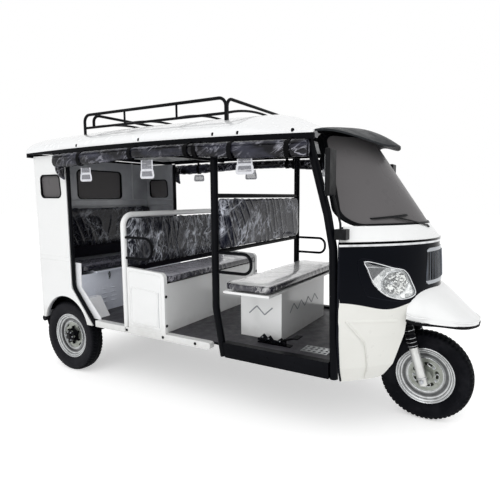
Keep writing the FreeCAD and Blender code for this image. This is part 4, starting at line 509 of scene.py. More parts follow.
# Front fork: cast alloy sliders under ribbed rubber boots with steel clips, a black yoke and a swept bar.
# Four clips go round each boot and one round the slider's foot, where a nut closes the axle.
RAKE = math.radians(17)
FORK_HALF = 0.104
SLIDER_TOP = 0.195
YOKE_FOOT = 0.398
BOOT_RIBS = 9
BOOT_RADIUS, BOOT_TAPER, BOOT_RIB_HEIGHT, BOOT_GAP = 0.0265, 0.0045, 0.0028, 0.0005
FOOT_NUT = 0.1285
CLIP_SHARES = (0.055, 0.165, 0.275, 0.50)
BOOT_CLIP = [(0.0285, -0.0016), (0.0312, -0.001), (0.0312, 0.001), (0.0285, 0.0016)]
FOOT_CLIP = [(0.0262, -0.003), (0.0278, -0.002), (0.0278, 0.002), (0.0262, 0.003)]


def steering_place(along, across=0.0):
    """Place at a distance up the raked steering axis from the front axle."""
    return np.array([WHEELBASE - along * math.sin(RAKE), across, AXLE_HEIGHT + along * math.cos(RAKE)])


RAKED = steering_place(1) - steering_place(0)
travel = np.linspace(0, 1, BOOT_RIBS * 8 + 1)
boot = np.stack([BOOT_RADIUS + BOOT_TAPER * travel + BOOT_RIB_HEIGHT * np.cos(2 * np.pi * BOOT_RIBS * travel),
                 SLIDER_TOP + BOOT_GAP + (YOKE_FOOT - SLIDER_TOP - 2 * BOOT_GAP) * travel], -1)
boots, clips, axle_nuts = [], [], []
for side in (-1, 1):
    boots.append(turned(boot, steering_place(0, side * FORK_HALF), RAKED, 40))
    for share in CLIP_SHARES:
        clip = steering_place(SLIDER_TOP + (YOKE_FOOT - SLIDER_TOP) * share, side * FORK_HALF)
        clips.append(turned(BOOT_CLIP, clip, RAKED, 40, kind="ring"))
    axle_nuts += nut((WHEELBASE, side * FOOT_NUT, AXLE_HEIGHT), (0, side, 0), 0.014, 0.010)
    clips.append(turned(FOOT_CLIP, steering_place(0.018, side * FORK_HALF), RAKED, 40, kind="ring"))
BOOT = rubber("boot_rubber", "#0b0b0e", (0.3, 0.45), "#2a2b30")
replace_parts(surface("fork_bellows", boots, BOOT, "steering"), "fork_boots")
surface("fork_clips", clips, bright_metal("steel_clip", "#c9cbcd", 0.22), "steering")
surface("front_axle_nuts", axle_nuts, ZINC, "steering")
finish(bright_metal("cast_alloy", "#cfd0ce", 0.42, 0.006, stain="#8b8a84"), "fork_sliders")
finish(BLACK_STEEL, "fork_yoke", "handlebar")

# Rear body: welded sheet panels, white outside and grey inside, with pressed swage lines.
# The wells are painted near-black inside as painted shade, and a rubber flap hangs behind each rear wheel.
PANEL_FACE = 0.570
LINER_FACE = 0.5415
WALL_FACE, WALL_BACK = -0.2365, -0.2655
LINER_LINES = (1.280, 1.227)
WELL_INNER, WELL_OUTER, WELL_TOP, WELL_LOW_TOP, WELL_STEP = 0.4268, 0.5369, 0.7245, 0.5725, 0.1515
WELL_SLOPE, WELL_REACH = 0.6475, 0.5830


def body_sheet(name, which, limit):
    """White enamel, grey on the faces whose coordinate's size is under a limit: those towards the cabin."""
    made = enamel(name, "#eeefef", "#dcdddc", road=0.35)
    size = add(made, "Math", [axis(made, which)], operation="ABSOLUTE")
    cabin = add(made, "MapRange", [size, limit - 0.001, limit + 0.001, 1.0, 0.0])
    patches = add(made, "MapRange", [cloud(made, 0.25, 4), 0.4, 0.7])
    paint(made, cabin, add(made, "Mix", [patches, "#94969b", "#acaeb3"], data_type="RGBA"))
    return made


finish(body_sheet("rear_wall_enamel", "X", 0.251), "rear_wall")
finish(body_sheet("side_panel_enamel", "Y", 0.556), "rear_side_panel_left", "rear_side_panel_right")
swages, inner_swages, flaps = [], [], []
for side in (-1, 1):
    for z in (0.842, 0.872):
        path = [(x, side * PANEL_FACE, z) for x in (-0.262, -0.08, 0.083)]
        swages.append(bar(path, 0.0035, flat=0.5, count=10))
    for z in LINER_LINES:
        path = [(0.078, side * LINER_FACE, z), (-0.236, side * LINER_FACE, z)]
        inner_swages.append(bar(path, 0.005, flat=0.8, count=10))
    path = [(WALL_FACE, side * 0.36, 1.275), (WALL_FACE, side * 0.36, 1.608)]
    inner_swages.append(bar(path, 0.008, AHEAD, 0.8, 10))
    sheet = np.array([[(x, side * y, z) for x, y in ((-0.252, 0.452), (-0.252, 0.556), (-0.248, 0.556),
                                                     (-0.248, 0.452))] for z in (0.395, 0.360, 0.326)])
    flaps.append((sheet + np.linspace(0, 0.018, 3)[:, None, None] * AHEAD, "tube"))
for z in LINER_LINES:
    inner_swages.append(bar([(WALL_FACE, -0.54, z), (WALL_FACE, 0.54, z)], 0.005, AHEAD, 0.8, 10))
back_frame = [(WALL_BACK, y, z) for y, z in ((-0.42, 0.80), (0.42, 0.80), (0.42, 1.20), (-0.42, 1.20))]
swages.append(bar(rounded(back_frame, 0.05, True), 0.004, AHEAD, closed=True))
CABIN_GREY = enamel("cabin_grey_enamel", "#a4a6ab", "#8c8e93", (0.3, 0.42))
surface("panel_swage_lines", swages, WHITE)
surface("cabin_swage_lines", inner_swages, CABIN_GREY)
surface("mud_flaps", flaps, rubber("flap_rubber", "#08080a"))


def well_sheet():
    """White enamel, painted near-black on the faces inside the hollow over the wheel as painted shade.

    A face is inside where |y| lies between the cheeks and z under the sheet, which steps and slopes ahead."""
    made = enamel("wheel_housing_enamel", "#e6e7ea", "#d3d5d9", (0.2, 0.3))
    side = add(made, "Math", [axis(made, "Y")], operation="ABSOLUTE")
    height, ahead = axis(made, "Z"), axis(made, "X")
    past = add(made, "Math", [ahead, WELL_STEP], operation="GREATER_THAN")
    top = add(made, "MapRange", [past, 0, 1, WELL_TOP, WELL_LOW_TOP])
    lean = add(made, "Math", [height, WELL_SLOPE], operation="MULTIPLY")
    slope = add(made, "Math", [ahead, lean], operation="ADD")
    arch_shade = add(made, "Math", [side, WELL_INNER], operation="GREATER_THAN")
    for value, limit in ((side, WELL_OUTER), (height, top), (slope, WELL_REACH)):
        under = add(made, "Math", [value, limit], operation="LESS_THAN")
        arch_shade = add(made, "Math", [arch_shade, under], operation="MULTIPLY")
    # Painted shade: the hollow over the wheel is coloured near-black.
    paint(made, arch_shade, "#070709")
    return made


finish(well_sheet(), "wheel_housings")

# Windows: flat tinted panes and the curved laminated windscreen, each in a black rubber seal.
# The panes are nearly closed to the eye and catch a little dust.
SEAL = rubber("seal_rubber", "#060709", (0.3, 0.42), "#141519")


def tinted_glass():
    """Grey tinted glass: an even, nearly closed film with a hard gloss and a little dust."""
    made = material("tinted_glass", Specular_IOR_Level=0.06, Alpha=0.97)
    paint(made, add(made, "MapRange", [cloud(made, 0.7), 0.4, 0.8, 0, 0.4]), "#686667", "#626061")
    gloss(made, cloud(made, 0.1, 4), 0.25, 0.35)
    return made


finish(tinted_glass(), "window_glass")
finish(SEAL, "window_seals", "windscreen_frame")

# Benches: folded sheet boxes, the rear one bluish grey with a latch and pressed louvres, the others white.
# The middle one has side cheeks with a pressed panel, held by black screws, and batteries inside.
# A dark board stands under the middle and rear backrests.
BENCH_GREY = enamel("bench_grey_enamel", "#dfe3ee", "#d0d5e2", (0.2, 0.3))
finish(BENCH_GREY, "rear_bench_box", "rear_seat_lid")
finish(WHITE, "middle_bench_box", "driver_seat_box", "middle_hoop")
finish(coated_steel("battery_case", "#0e0f11", (0.4, 0.55)), "battery_block")
finish(BLACK_STEEL, "middle_armrests", "driver_hoop", "door_posts")
BENCH_FACE, LATCH_Y = 0.1605, -0.293
LOUVRE_LONG, LOUVRE_HALF = 0.058, 0.0048
louvre_width = LOUVRE_HALF * np.sin(np.linspace(0.25, np.pi - 0.25, 14))
louvres = []
for z in (0.604, 0.570, 0.536, 0.502):
    for y in (-0.375, -0.290):
        path = np.linspace((0, y, z), (0, y + LOUVRE_LONG, z), 14) + (BENCH_FACE, 0, 0)
        louvres.append(bar(path, louvre_width, UP, count=10))
surface("bench_louvres", louvres, BENCH_GREY)
LATCH_BACK = [(0.012, -0.0005), (0.012, 0.003), (0.009, 0.004)]
latch_back = turned(LATCH_BACK, (BENCH_FACE, LATCH_Y, 0.716), AHEAD, 24)
plate = ((-0.007, 0.722), (0.007, 0.722), (0.006, 0.676), (-0.006, 0.676))
latch_plate = np.array([[(BENCH_FACE + d, LATCH_Y + y, z) for y, z in plate] for d in (-0.0004, 0.0035)])
surface("bench_latch", [latch_back, (latch_plate, "tube")], ZINC)
HASP = ((0.003, 0.735), (0.012, 0.722), (0.012, 0.700), (0.003, 0.690))
hasp = [(BENCH_FACE + d, LATCH_Y, z) for d, z in HASP]
surface("bench_hasp", [bar(rounded(hasp), 0.0028, count=10)], BLACK_STEEL)

CHEEK_FACE = 0.5699
CHEEK_OUTER = ((0.672, 0.452), (0.948, 0.452), (0.948, 0.792), (0.922, 0.812), (0.672, 0.824))
CHEEK_INNER = ((0.688, 0.470), (0.912, 0.470), (0.912, 0.700), (0.688, 0.716))
SIDE_SCREWS = ((0.634, 0.413), (0.955, 0.412), (1.215, 0.413))
cheek_ribs, pressed_lines, screws = [], [], []
for side in (-1, 1):
    for outline, thick in ((CHEEK_OUTER, 0.0035), (CHEEK_INNER, 0.0045)):
        ring = rounded([(x, side * CHEEK_FACE, z) for x, z in outline], 0.022, True)
        cheek_ribs.append(bar(ring, thick, closed=True))
    # A thin grey line down the right of the pressed panel: painted shade of its groove.
    pressed_lines.append(bar([(0.926, side * CHEEK_FACE, z) for z in (0.700, 0.468)], 0.0016, flat=0.4))
    places = [((x, side * PANEL_FACE, z), (0, side, 0), 0.0) for x, z in SIDE_SCREWS]
    places += [((0.9775, side * 0.556, z), AHEAD, 0.001) for z in (0.676, 0.486)]
    for spot, along, out in places:
        head = [(0.0095, -0.001), (0.0095, 0.002 + out), (0.006, 0.0042 + out), (0.001, 0.0046 + out)]
        screws.append(turned(head, spot, along, 20))
surface("cheek_pressings", cheek_ribs, WHITE)
surface("body_screws", screws, BLACK_STEEL)
BOARD_HALF, BOARD_THICK = 0.515, 0.012
board_edge = ((0, -BOARD_HALF), (BOARD_THICK, -BOARD_HALF), (BOARD_THICK, BOARD_HALF), (0, BOARD_HALF))
boards = []
for x, low, high in ((0.600, 0.798, 0.860), (-0.214, 0.815, 0.93)):
    boards.append((np.array([[(x + deep, y, z) for deep, y in board_edge] for z in (low, high)]), "tube"))
surface("backrest_boards", boards, coated_steel("stained_plywood", "#15141c", (0.4, 0.6)))

# Pedals: three cranked levers on a cross shaft, black enamel with zinc-plated bolts.
# The driver's box beside them has plain zig-zag lines pressed into its front and sides, coloured grey as
# painted shade in their grooves.
levers, bolts = [], []
for x, y, tall in ((1.596, -0.385, 0.030), (1.652, -0.410, 0.034), (1.722, -0.400, 0.026)):
    crank = [(x - 0.022, y, 0.449), (x, y, 0.440 + tall), (x + 0.030, y, 0.447)]
    levers.append(bar(crank, (0.011, 0.014, 0.009), count=10))
    bolts += nut((x, y - 0.014, 0.437 + tall), (0, -1, 0), 0.0055, 0.006)
levers.append(bar([(1.565, -0.400, 0.452), (1.735, -0.400, 0.452)], 0.009, count=10))
surface("pedal_levers", levers, BLACK_STEEL)
surface("pedal_bolts", bolts, ZINC)
BOX_FRONT, BOX_SIDE, BOX_MIDDLE = 1.690, 0.335, 1.545
SAW_LOW, SAW_HIGH, SAW_STEP = 0.585, 0.635, 0.055
SAW_CORNER, SAW_HALF = 0.006, 0.0042
teeth = np.arange(9)
saw = np.where(teeth % 2, SAW_HIGH, SAW_LOW)
lines = [([(BOX_FRONT, y, z) for y, z in zip((teeth - 4) * SAW_STEP, saw)], AHEAD)]
for side in (-1, 1):
    steps = BOX_MIDDLE + (teeth[:4] - 1.5) * SAW_STEP
    lines.append(([(x, side * BOX_SIDE, z) for x, z in zip(steps, saw)], ACROSS))
for points, up in lines:
    pressed_lines.append(bar(rounded(points, SAW_CORNER), SAW_HALF, up, 0.5))
# Painted shade: the pressed lines are coloured grey for the shade in their grooves.
GROOVE_SHADE = enamel("groove_shade_grey", "#8d9196", "#7d8186", (0.3, 0.4), coat=0.1)
surface("box_pressed_lines", pressed_lines, GROOVE_SHADE)

# Six seat pads: foam in dark navy vinyl, still under the clear film they were packed in.
# Each starts a little small, is blown up as cloth, and the film's folds are then pressed into it.
VOXEL = 0.009
PRESSURE = 4.0
FRAMES = 20
STIFFNESS = 12
PAD_START, PAD_CORNER, PAD_CAP, PAD_FILL = 0.006, 0.022, 0.010, 0.75
FOLD_LEAN, FOLD_ROOM = 0.35, 0.004


def film_vinyl(name, film, dark="#13141d", light="#d6dae4", turn=0.5, top=0.0, pale=0.0, coat=0.35):
    """Dark seat vinyl under crumpled clear film, with painted highlights.

    The film's folds show as long bright streaks of painted highlight: thin lines where a stretched, turned
    pattern crosses its middle value, stronger in some patches than others and, if pale is set, on the side
    past y = pale, with a fine crackle of painted glints over them. Where top is set, upward faces get a
    painted sheen."""
    made = material(name, Coat_Weight=coat, Coat_Roughness=0.10, Specular_IOR_Level=0.12)
    streaks = []
    for angle, size, wide in ((turn, 0.24, 0.030), (-turn * 0.35, 0.09, 0.026)):
        fold = cloud(made, size, 4, (1, 1, 0.30), 0.55, (angle, 0, 0), 1.6)
        off = add(made, "Math", [fold, 0.5], operation="SUBTRACT")
        off = add(made, "Math", [off], operation="ABSOLUTE")
        streaks.append(add(made, "MapRange", [off, 0.0, wide, 1.0, 0.0]))
    patch = add(made, "MapRange", [cloud(made, 0.20), 0.45, 0.60, 0.12, 1.0])
    if pale:
        near = add(made, "MapRange", [axis(made, "Y"), pale, pale + 0.35, 0.0, 0.8])
        patch = add(made, "Math", [patch, near], operation="MAXIMUM")
    streak = add(made, "Math", streaks, operation="MAXIMUM")
    streak = add(made, "Math", [streak, patch], operation="MULTIPLY")
    streak = add(made, "Math", [streak, 1.4], operation="POWER")
    streak = add(made, "Math", [streak, film], operation="MULTIPLY")
    crackle = cloud(made, 0.020, 6, (1, 1, 0.5), 0.75, (turn * 0.5, 0, 0))
    fine = add(made, "MapRange", [crackle, 0.50, 0.68])
    fine = add(made, "Math", [fine, patch], operation="MULTIPLY")
    fine = add(made, "Math", [fine, film * 0.55], operation="MULTIPLY")
    painted_glare = add(made, "Math", [streak, fine], operation="ADD")
    # Painted sheen: faces turned upward are painted toward the light colour.
    if top:
        normal = add(made, "NewGeometry", out="True Normal")
        upward = add(made, "MapRange", [add(made, "SeparateXYZ", [normal], 2), 0.80, 0.97, 0.0, top])
        shade = cloud(made, 0.10, 3, (1, 0.35, 1), turn=(0, 0, 0.6))
        shade = add(made, "MapRange", [shade, 0.36, 0.52, 0.70, 1.0])
        shade = add(made, "Math", [upward, shade], operation="MULTIPLY")
        painted_glare = add(made, "Math", [painted_glare, shade], operation="MAXIMUM")
    # Painted highlight: streaks, glints and sheen go into the base colour.
    paint(made, add(made, "Clamp", [painted_glare]), light, dark)
    gloss(made, crackle, 0.14, 0.34)
    relief(made, crackle, 0.0012, 0.5)
    return made


def folds(points, normals, seed, size, height):
    """Film folds: ridges 1 - |sin(q k.p + warp)| along a few leaning directions, faded by slow waves."""
    chance = np.random.RandomState(seed)
    rise = np.zeros(len(points))
    for _ in range(4):
        direction = np.array([chance.normal(0, 0.3), 1.0, FOLD_LEAN * chance.normal(1, 0.9)])
        slow = chance.normal(0, 1, (2, 3)) * 7
        warp = 1.6 * np.sin(points @ slow[0] + chance.uniform(0, 6)) + chance.uniform(0, 6)
        ridge = 1 - np.abs(np.sin(points @ direction * np.pi / (size * chance.uniform(0.7, 1.8)) + warp))
        rise += ridge ** 3 * np.clip(np.sin(points @ slow[1] + chance.uniform(0, 6)), 0, 1)
    return points + normals * (rise * height)[:, None]


def evaluated(source):
    """Mesh of an object as its modifiers leave it."""
    return bpy.data.meshes.new_from_object(source.evaluated_get(bpy.context.evaluated_depsgraph_get()))


def applied(source, *modifiers):
    """Mesh of an object after modifiers, each given as (kind, settings)."""
    for kind, settings in modifiers:
        made = source.modifiers.new(kind, kind)
        for key, value in settings.items():
            setattr(made, key, value)
    mesh = evaluated(source)
    source.modifiers.clear()
    return mesh


def coordinates(mesh, normals=False):
    """Vertex places, or else normals, of a mesh as one array."""
    values = np.empty(len(mesh.vertices) * 3)
    if normals:
        mesh.vertex_normals.foreach_get("vector", values)
    else:
        mesh.vertices.foreach_get("co", values)
    return values.reshape(-1, 3)


def swell(blank):
    """Blow an object's mesh up as cloth under pressure, no point moving further than the cap."""
    rest = coordinates(blank.data)
    cloth = blank.modifiers.new("cloth", "CLOTH")
    cloth.settings.effector_weights.gravity = 0
    cloth.settings.use_pressure = True
    cloth.settings.uniform_pressure_force = PRESSURE
    cloth.settings.tension_stiffness = cloth.settings.compression_stiffness = STIFFNESS
    for step in range(1, FRAMES + 1):
        bpy.context.scene.frame_set(step)
    move = coordinates(evaluated(blank)) - rest
    blank.modifiers.clear()
    bpy.context.scene.frame_set(1)
    length = np.linalg.norm(move, axis=1, keepdims=True)
    kept = np.minimum(1, PAD_CAP / np.maximum(length, 1e-9))
    blank.data.vertices.foreach_set("co", (rest + move * kept).ravel())


def pad(name, node, made, body, back, seed):
    """One seat pad: a rounded box a little smaller than its CAD solid's, swollen as cloth and then creased.

    It is stretched to the solid's box at the end, p = low + (p - least) (high - low) / (most - least). The
    edges that run up a seat are rounded, or those that run ahead on a backrest."""
    low, high = (np.array(corner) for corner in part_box(node))
    block = bmesh.new()
    bmesh.ops.create_cube(block, size=1)
    bmesh.ops.scale(block, vec=(high - low) - 2 * PAD_START, verts=block.verts)
    bmesh.ops.translate(block, vec=(low + high) / 2, verts=block.verts)
    runs = 0 if back else 2
    long = [e for e in block.edges if abs((e.verts[0].co - e.verts[1].co).normalized()[runs]) > 0.9]
    bmesh.ops.bevel(block, geom=long, offset=PAD_CORNER * 2, segments=5, affect="EDGES", profile=0.5)
    mesh = bpy.data.meshes.new(name)
    block.to_mesh(mesh)
    block.free()
    blank = linked(name + "_blank", mesh)
    bpy.context.view_layer.update()
    blank.data = applied(blank, ("REMESH", {"mode": "VOXEL", "voxel_size": VOXEL}))
    swell(blank)
    blank.data.update()
    fine = applied(blank, ("SMOOTH", {"factor": 0.5, "iterations": 3}),
                   ("SUBSURF", {"levels": 1, "render_levels": 1}))
    bpy.data.objects.remove(blank)
    size, height = (0.10, 0.0042) if back else (0.05, 0.0018)
    points = folds(coordinates(fine), coordinates(fine, True), seed, size, height)
    least, most = points.min(0), points.max(0)
    points = low + (points - least) * (high - low) / (most - least)
    fine.vertices.foreach_set("co", np.clip(points, low, high + FOLD_ROOM).ravel())
    fine.update()
    piece = settle(name, fine, made, body, 180)
    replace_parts(piece, node)


# The light colour of each pad is its painted highlight; top paints a sheen on its upward faces.
DRIVER_BACK = film_vinyl("driver_back_film_vinyl", 1.0, "#1b1d2b", "#e6eaf6", turn=0.9)
MIDDLE_BACK = film_vinyl("middle_back_film_vinyl", 0.95, "#12141e", "#e0e4ee", turn=0.6, pale=-0.1)
REAR_BACK = film_vinyl("rear_back_film_vinyl", 0.35, "#0d0e18", turn=1.2)
DRIVER_TOP = film_vinyl("driver_seat_film_vinyl", 0.45, "#23222e", "#ffffff", top=1.0, coat=1.0)
MIDDLE_TOP = film_vinyl("middle_seat_film_vinyl", 0.45, "#24232f", "#dddce6", top=0.60, coat=0.8)
REAR_TOP = film_vinyl("rear_seat_film_vinyl", 0.30, "#181823", "#a8a8b6", top=0.35, coat=0.6)
pad("driver_seat_pad", "driver_cushion", DRIVER_TOP, "root", False, 3)
pad("driver_back_pad", "driver_backrest", DRIVER_BACK, "root", True, 5)
pad("middle_seat_pad", "middle_cushion", MIDDLE_TOP, "root", False, 7)
pad("middle_back_pad", "middle_backrest", MIDDLE_BACK, "root", True, 11)
pad("rear_seat_pad", "rear_cushion", REAR_TOP, "rear_seat", False, 13)
pad("rear_back_pad", "rear_backrest", REAR_BACK, "root", True, 17)

# Roof: a moulded glass-fibre shell on steel bows, edged in black and bolted down along its sides.
# The sun visor ahead of it is dark grey moulded plastic, and the rack is welded tube in dark gloss enamel.
ROOF_HALF, ROOF_EDGE, ROOF_RISE, ROOF_MIDDLE, ROOF_SPAN = 0.600, 1.632, 0.019, 0.850, 1.150
ROOF_BOLTS = (0.255, 0.830, 1.392, 1.557, 1.886)
BOLT_CAP = [(0.009, 0), (0.009, 0.012), (0.006, 0.018), (0.001, 0.019)]
finish(enamel("roof_gelcoat", "#f1f2f3", "#e2e4e5", (0.2, 0.3), 0.02), "roof_panel")
finish(BLACK_STEEL, "roof_frame")
finish(coated_steel("rack_gloss_enamel", "#0c0d0f", (0.12, 0.22), dust="#2a2b2e"), "roof_rack")


def moulded_plastic(name, colour, rough, grain, depth, scuff="#2c2d30"):
    """Moulded plastic with a pebbled grain and faint scuffs."""
    made = material(name, Specular_IOR_Level=0.12)
    paint(made, add(made, "MapRange", [cloud(made, 0.02, 6), 0.45, 0.75, 0, 0.6]), scuff, colour)
    gloss(made, cloud(made, 0.06), rough - 0.08, rough + 0.1)
    relief(made, cloud(made, grain, 4, rough=0.7), depth, 0.8)
    return made


def roof_edge(x):
    """Height of the roof's edge: it arches by ROOF_RISE (1 - ((x - middle) / span) squared)."""
    return ROOF_EDGE + ROOF_RISE * (1 - ((x - ROOF_MIDDLE) / ROOF_SPAN) ** 2)


finish(moulded_plastic("visor_plastic", "#1d2023", 0.42, 0.006, 0.001, "#34383a"), "visor")
spots = [(x, side * (ROOF_HALF - 0.006), roof_edge(x) - 0.004) for side in (-1, 1) for x in ROOF_BOLTS]
caps = [turned(BOLT_CAP, spot, UP, 16) for spot in spots]
surface("roof_edge_bolts", caps, BLACK_STEEL)

# Side curtains: black coated cloth with small clear windows, rolled up and strapped under the roof's edge.
# Each is one cut sheet: a spiral of turns, drawn in at its straps and creased between them.
# Its rear end is gathered and hangs down by the door post.
ROLL_REAR, ROLL_FRONT, ROLL_MIDDLE, ROLL_HALF, ROLL_DEPTH = 0.064, 1.986, 0.6305, 0.0292, 0.104
ROLL_TURNS = 3.2
ROLL_DRAWN = 0.52
ROLL_BELOW = 0.0409
SHEET_THICK = 0.0012
STRAPS = (0.331, 0.799, 1.237, 1.537, 1.879)
EXTRA_STRAP = 1.30
STRAP_HALF, STRAP_THICK, STRAP_TIGHT = 0.014, 0.0022, 0.86
DEPTH_PLACES = (0, 0.073, 0.202, 0.378, 0.596, 0.694, 0.829, 1)
DEPTH_SHARES = (0.92, 0.99, 0.93, 0.75, 0.71, 0.875, 1, 0.92)
PANES = ((0.347, 1.416, 1.50), (0.902, 1.424, 1.53), (1.607, 1.434, 1.51))
PANE_SHORT, PANE_LONG, PANE_TALL, PANE_HALF_THICK = 0.046, 0.052, 0.045, 0.0006
PANE_OUT, FAR_PANE_RISE = 0.606, 0.035
TAIL = ((0.088, 0.603, 1.585), (0.070, 0.606, 1.530), (0.085, 0.606, 1.470), (0.122, 0.605, 1.428))
TAIL_PLACES, TAIL_RADII = (0, 0.3, 0.6, 0.9, 1), (0.030, 0.034, 0.036, 0.022, 0.006)


def curtain_vinyl():
    """Coated cloth: black and glossy, with a painted grey sheen in broad patches and painted pale highlights
    along its creases.
    """
    made = material("curtain_vinyl", Coat_Weight=0.2, Coat_Roughness=0.12, Specular_IOR_Level=0.12)
    fold = cloud(made, 0.12, 4, (0.6, 1, 1.5), 0.55, (0, 0.6, 0), 1.8)
    off = add(made, "Math", [fold, 0.5], operation="SUBTRACT")
    off = add(made, "Math", [off], operation="ABSOLUTE")
    shine = add(made, "MapRange", [off, 0.0, 0.045, 1.0, 0.0])
    patch = add(made, "MapRange", [cloud(made, 0.16), 0.47, 0.66])
    shine = add(made, "Math", [shine, patch], operation="MULTIPLY")
    sheen = add(made, "MapRange", [cloud(made, 0.13, 2, (0.5, 1, 1.6)), 0.45, 0.66])
    # Painted sheen, then painted highlight streaks.
    paint(made, sheen, "#3c3d4a", "#09090f")
    paint(made, add(made, "Math", [shine, 0.7], operation="MULTIPLY"), "#d2d2de")
    gloss(made, cloud(made, 0.02, 4), 0.2, 0.36)
    relief(made, fold, 0.004, 0.5)
    return made


def roll_shape(x):
    """Centre height and half depth of the roll at places along it."""
    share = (x - ROLL_REAR) / (ROLL_FRONT - ROLL_REAR)
    half = ROLL_DEPTH / 2 * np.interp(share, DEPTH_PLACES, DEPTH_SHARES)
    return roof_edge(x) - ROLL_BELOW - half, half


def roll_grid(side, seed):
    """Rolled sheet: (x, y + w k cos t, z + h k sin t), k falling along the turns, with waists and creases."""
    chance = np.random.RandomState(seed)
    x = np.linspace(ROLL_REAR, ROLL_FRONT, 220)[:, None]
    turn = np.linspace(0, 1, 96)[None, :]
    angle = 2 * np.pi * ROLL_TURNS * turn + 0.6
    middle, half = roll_shape(x)
    waist = 1 - 0.16 * sum(np.exp(-((x - strap) / 0.022) ** 2) for strap in STRAPS)
    crease = np.zeros_like(x * angle)
    for _ in range(9):
        steep, whirl = chance.uniform(14, 60), chance.choice([-2, -1, 1, 2])
        fade = np.clip(np.sin(x * chance.uniform(2, 6) + chance.uniform(0, 6)), 0, 1)
        crease += fade * (1 - np.abs(np.sin(steep * x + whirl * angle / 2 + chance.uniform(0, 6)))) ** 2
    reach = waist * (0.97 - 0.055 * crease) * (1 - ROLL_DRAWN * turn)
    y = ROLL_MIDDLE + ROLL_HALF * reach * np.cos(angle)
    return np.stack([x + 0 * angle, side * y, middle + half * 0.985 * reach * np.sin(angle)], -1)


def strap_grids(side, x):
    """Webbing round the roll, a flat band on an ellipse, and its end, which goes up to the roof's bow."""
    middle, half = roll_shape(x)
    angle = circle(40)
    rows = []
    section = ((-STRAP_HALF, 0), (-STRAP_HALF, STRAP_THICK), (STRAP_HALF, STRAP_THICK), (STRAP_HALF, 0))
    for across, grow in section:
        y = side * (ROLL_MIDDLE + (ROLL_HALF * STRAP_TIGHT + grow) * np.cos(angle))
        z = middle + (half * STRAP_TIGHT + grow) * np.sin(angle)
        rows.append(np.stack([x + across + 0 * angle, y, z], -1))
    end = ((0.6305, middle + half * 0.2), (0.617, middle + half + 0.004), (0.598, middle + half + 0.012))
    return [(np.array(rows), "ring"), bar([(x, side * y, z) for y, z in end], 0.012, flat=0.12)]


CURTAIN = curtain_vinyl()
CLEAR_FILM = material("clear_window_film", Base_Color="#9fa0a8", Alpha=0.45, Roughness=0.12, Coat_Weight=1.0)
relief(CLEAR_FILM, cloud(CLEAR_FILM, 0.03), 0.002, 0.6)
gloss(CLEAR_FILM, cloud(CLEAR_FILM, 0.02), 0.08, 0.25)
PALE_FRAME = moulded_plastic("pale_frame_plastic", "#dcdde2", 0.35, 0.005, 0.0003, "#c4c5cc")
straps, panes, frames, tails = [], [], [], []
for side in (-1, 1):
    grid = roll_grid(side, 23 if side < 0 else 29)
    name = "side_curtain_" + ("right" if side < 0 else "left")
    roll = surface(name, [(grid, "sheet")], CURTAIN, sharp=180)
    roll.modifiers.new("thickness", "SOLIDIFY").thickness = SHEET_THICK
    if side < 0:
        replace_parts(roll, "side_curtains")
    for x in STRAPS + (EXTRA_STRAP,):
        straps += strap_grids(side, x)
    y = side * PANE_OUT
    for x, low, high in PANES:
        low += FAR_PANE_RISE if side > 0 else 0.0
        ring = [(x - PANE_LONG, y, low), (x + PANE_LONG, y, low), (x + PANE_SHORT, y, low + PANE_TALL),
                (x - PANE_SHORT, y, low + PANE_TALL)]
        frames.append(bar(rounded(ring, 0.012, True), 0.0075, flat=0.3, closed=True))
        for edge in (-0.045, 0.045):
            frames.append(bar([(x + edge, y, low + 0.04), (x + edge * 0.95, y, high)], 0.005, flat=0.3))
        section = [(x + a * PANE_SHORT, y + side * d * PANE_HALF_THICK)
                   for a, d in ((-1, -1), (1, -1), (1, 1), (-1, 1))]
        panes.append((np.array([[(*spot, z) for spot in section] for z in (low, high)]), "tube"))
    drop = rounded([(x, side * out, z) for x, out, z in TAIL])
    bulk = np.interp(np.linspace(0, 1, len(drop)), TAIL_PLACES, TAIL_RADII)
    tail = bar(drop, bulk, flat=0.62, count=40)[0]
    crimp = 1 + 0.12 * np.cos(6 * circle(40))[None, :, None]
    tails.append(((tail - drop[:, None]) * crimp + drop[:, None], "tube"))
surface("curtain_straps", straps, coated_steel("strap_webbing", "#050507", (0.5, 0.65), 0.002))
surface("curtain_window_frames", frames, PALE_FRAME)
surface("curtain_windows", panes, CLEAR_FILM)
surface("curtain_tails", tails, CURTAIN, sharp=70)

# Nose: moulded panels, white above and below, a navy-black gloss band between them, a chrome strip over it.
# The corner panels have a pressed fold, and the grille is cast with bright worn edges on its slats.
NOSE_SWEEP, NOSE_HALF = 0.390, 0.570
NOSE_LEVELS = ((0.338, 2.441), (0.417, 2.481), (0.586, 2.515), (0.777, 2.539), (0.943, 2.530), (1.060, 2.521),
               (1.160, 2.4615))
GRILLE_LOW, GRILLE_HIGH, GRILLE_HALF, GRILLE_SLATS = 0.862, 1.012, 0.158, 14
STRIP_MIDDLE = 1.071


def nose_at(y, z, proud=0.0):
    """Place on the nose: x = reach(z) - sweep (y / half)^2, moved out along the level by proud."""
    y, z = np.asarray(y, float), np.asarray(z, float)
    reach = np.interp(z, *zip(*NOSE_LEVELS))
    return np.stack([reach + proud - NOSE_SWEEP * (y / NOSE_HALF) ** 2, y + 0 * z, z + 0 * y], -1)


def strip_chrome():
    """Chrome over its lower half, a black rubber bead in its upper half."""
    made = bright_metal("strip_chrome", "#dfe0e2", 0.14)
    upper = add(made, "MapRange", [axis(made, "Z"), STRIP_MIDDLE - 0.0005, STRIP_MIDDLE + 0.0005])
    paint(made, upper, "#030304")
    return made


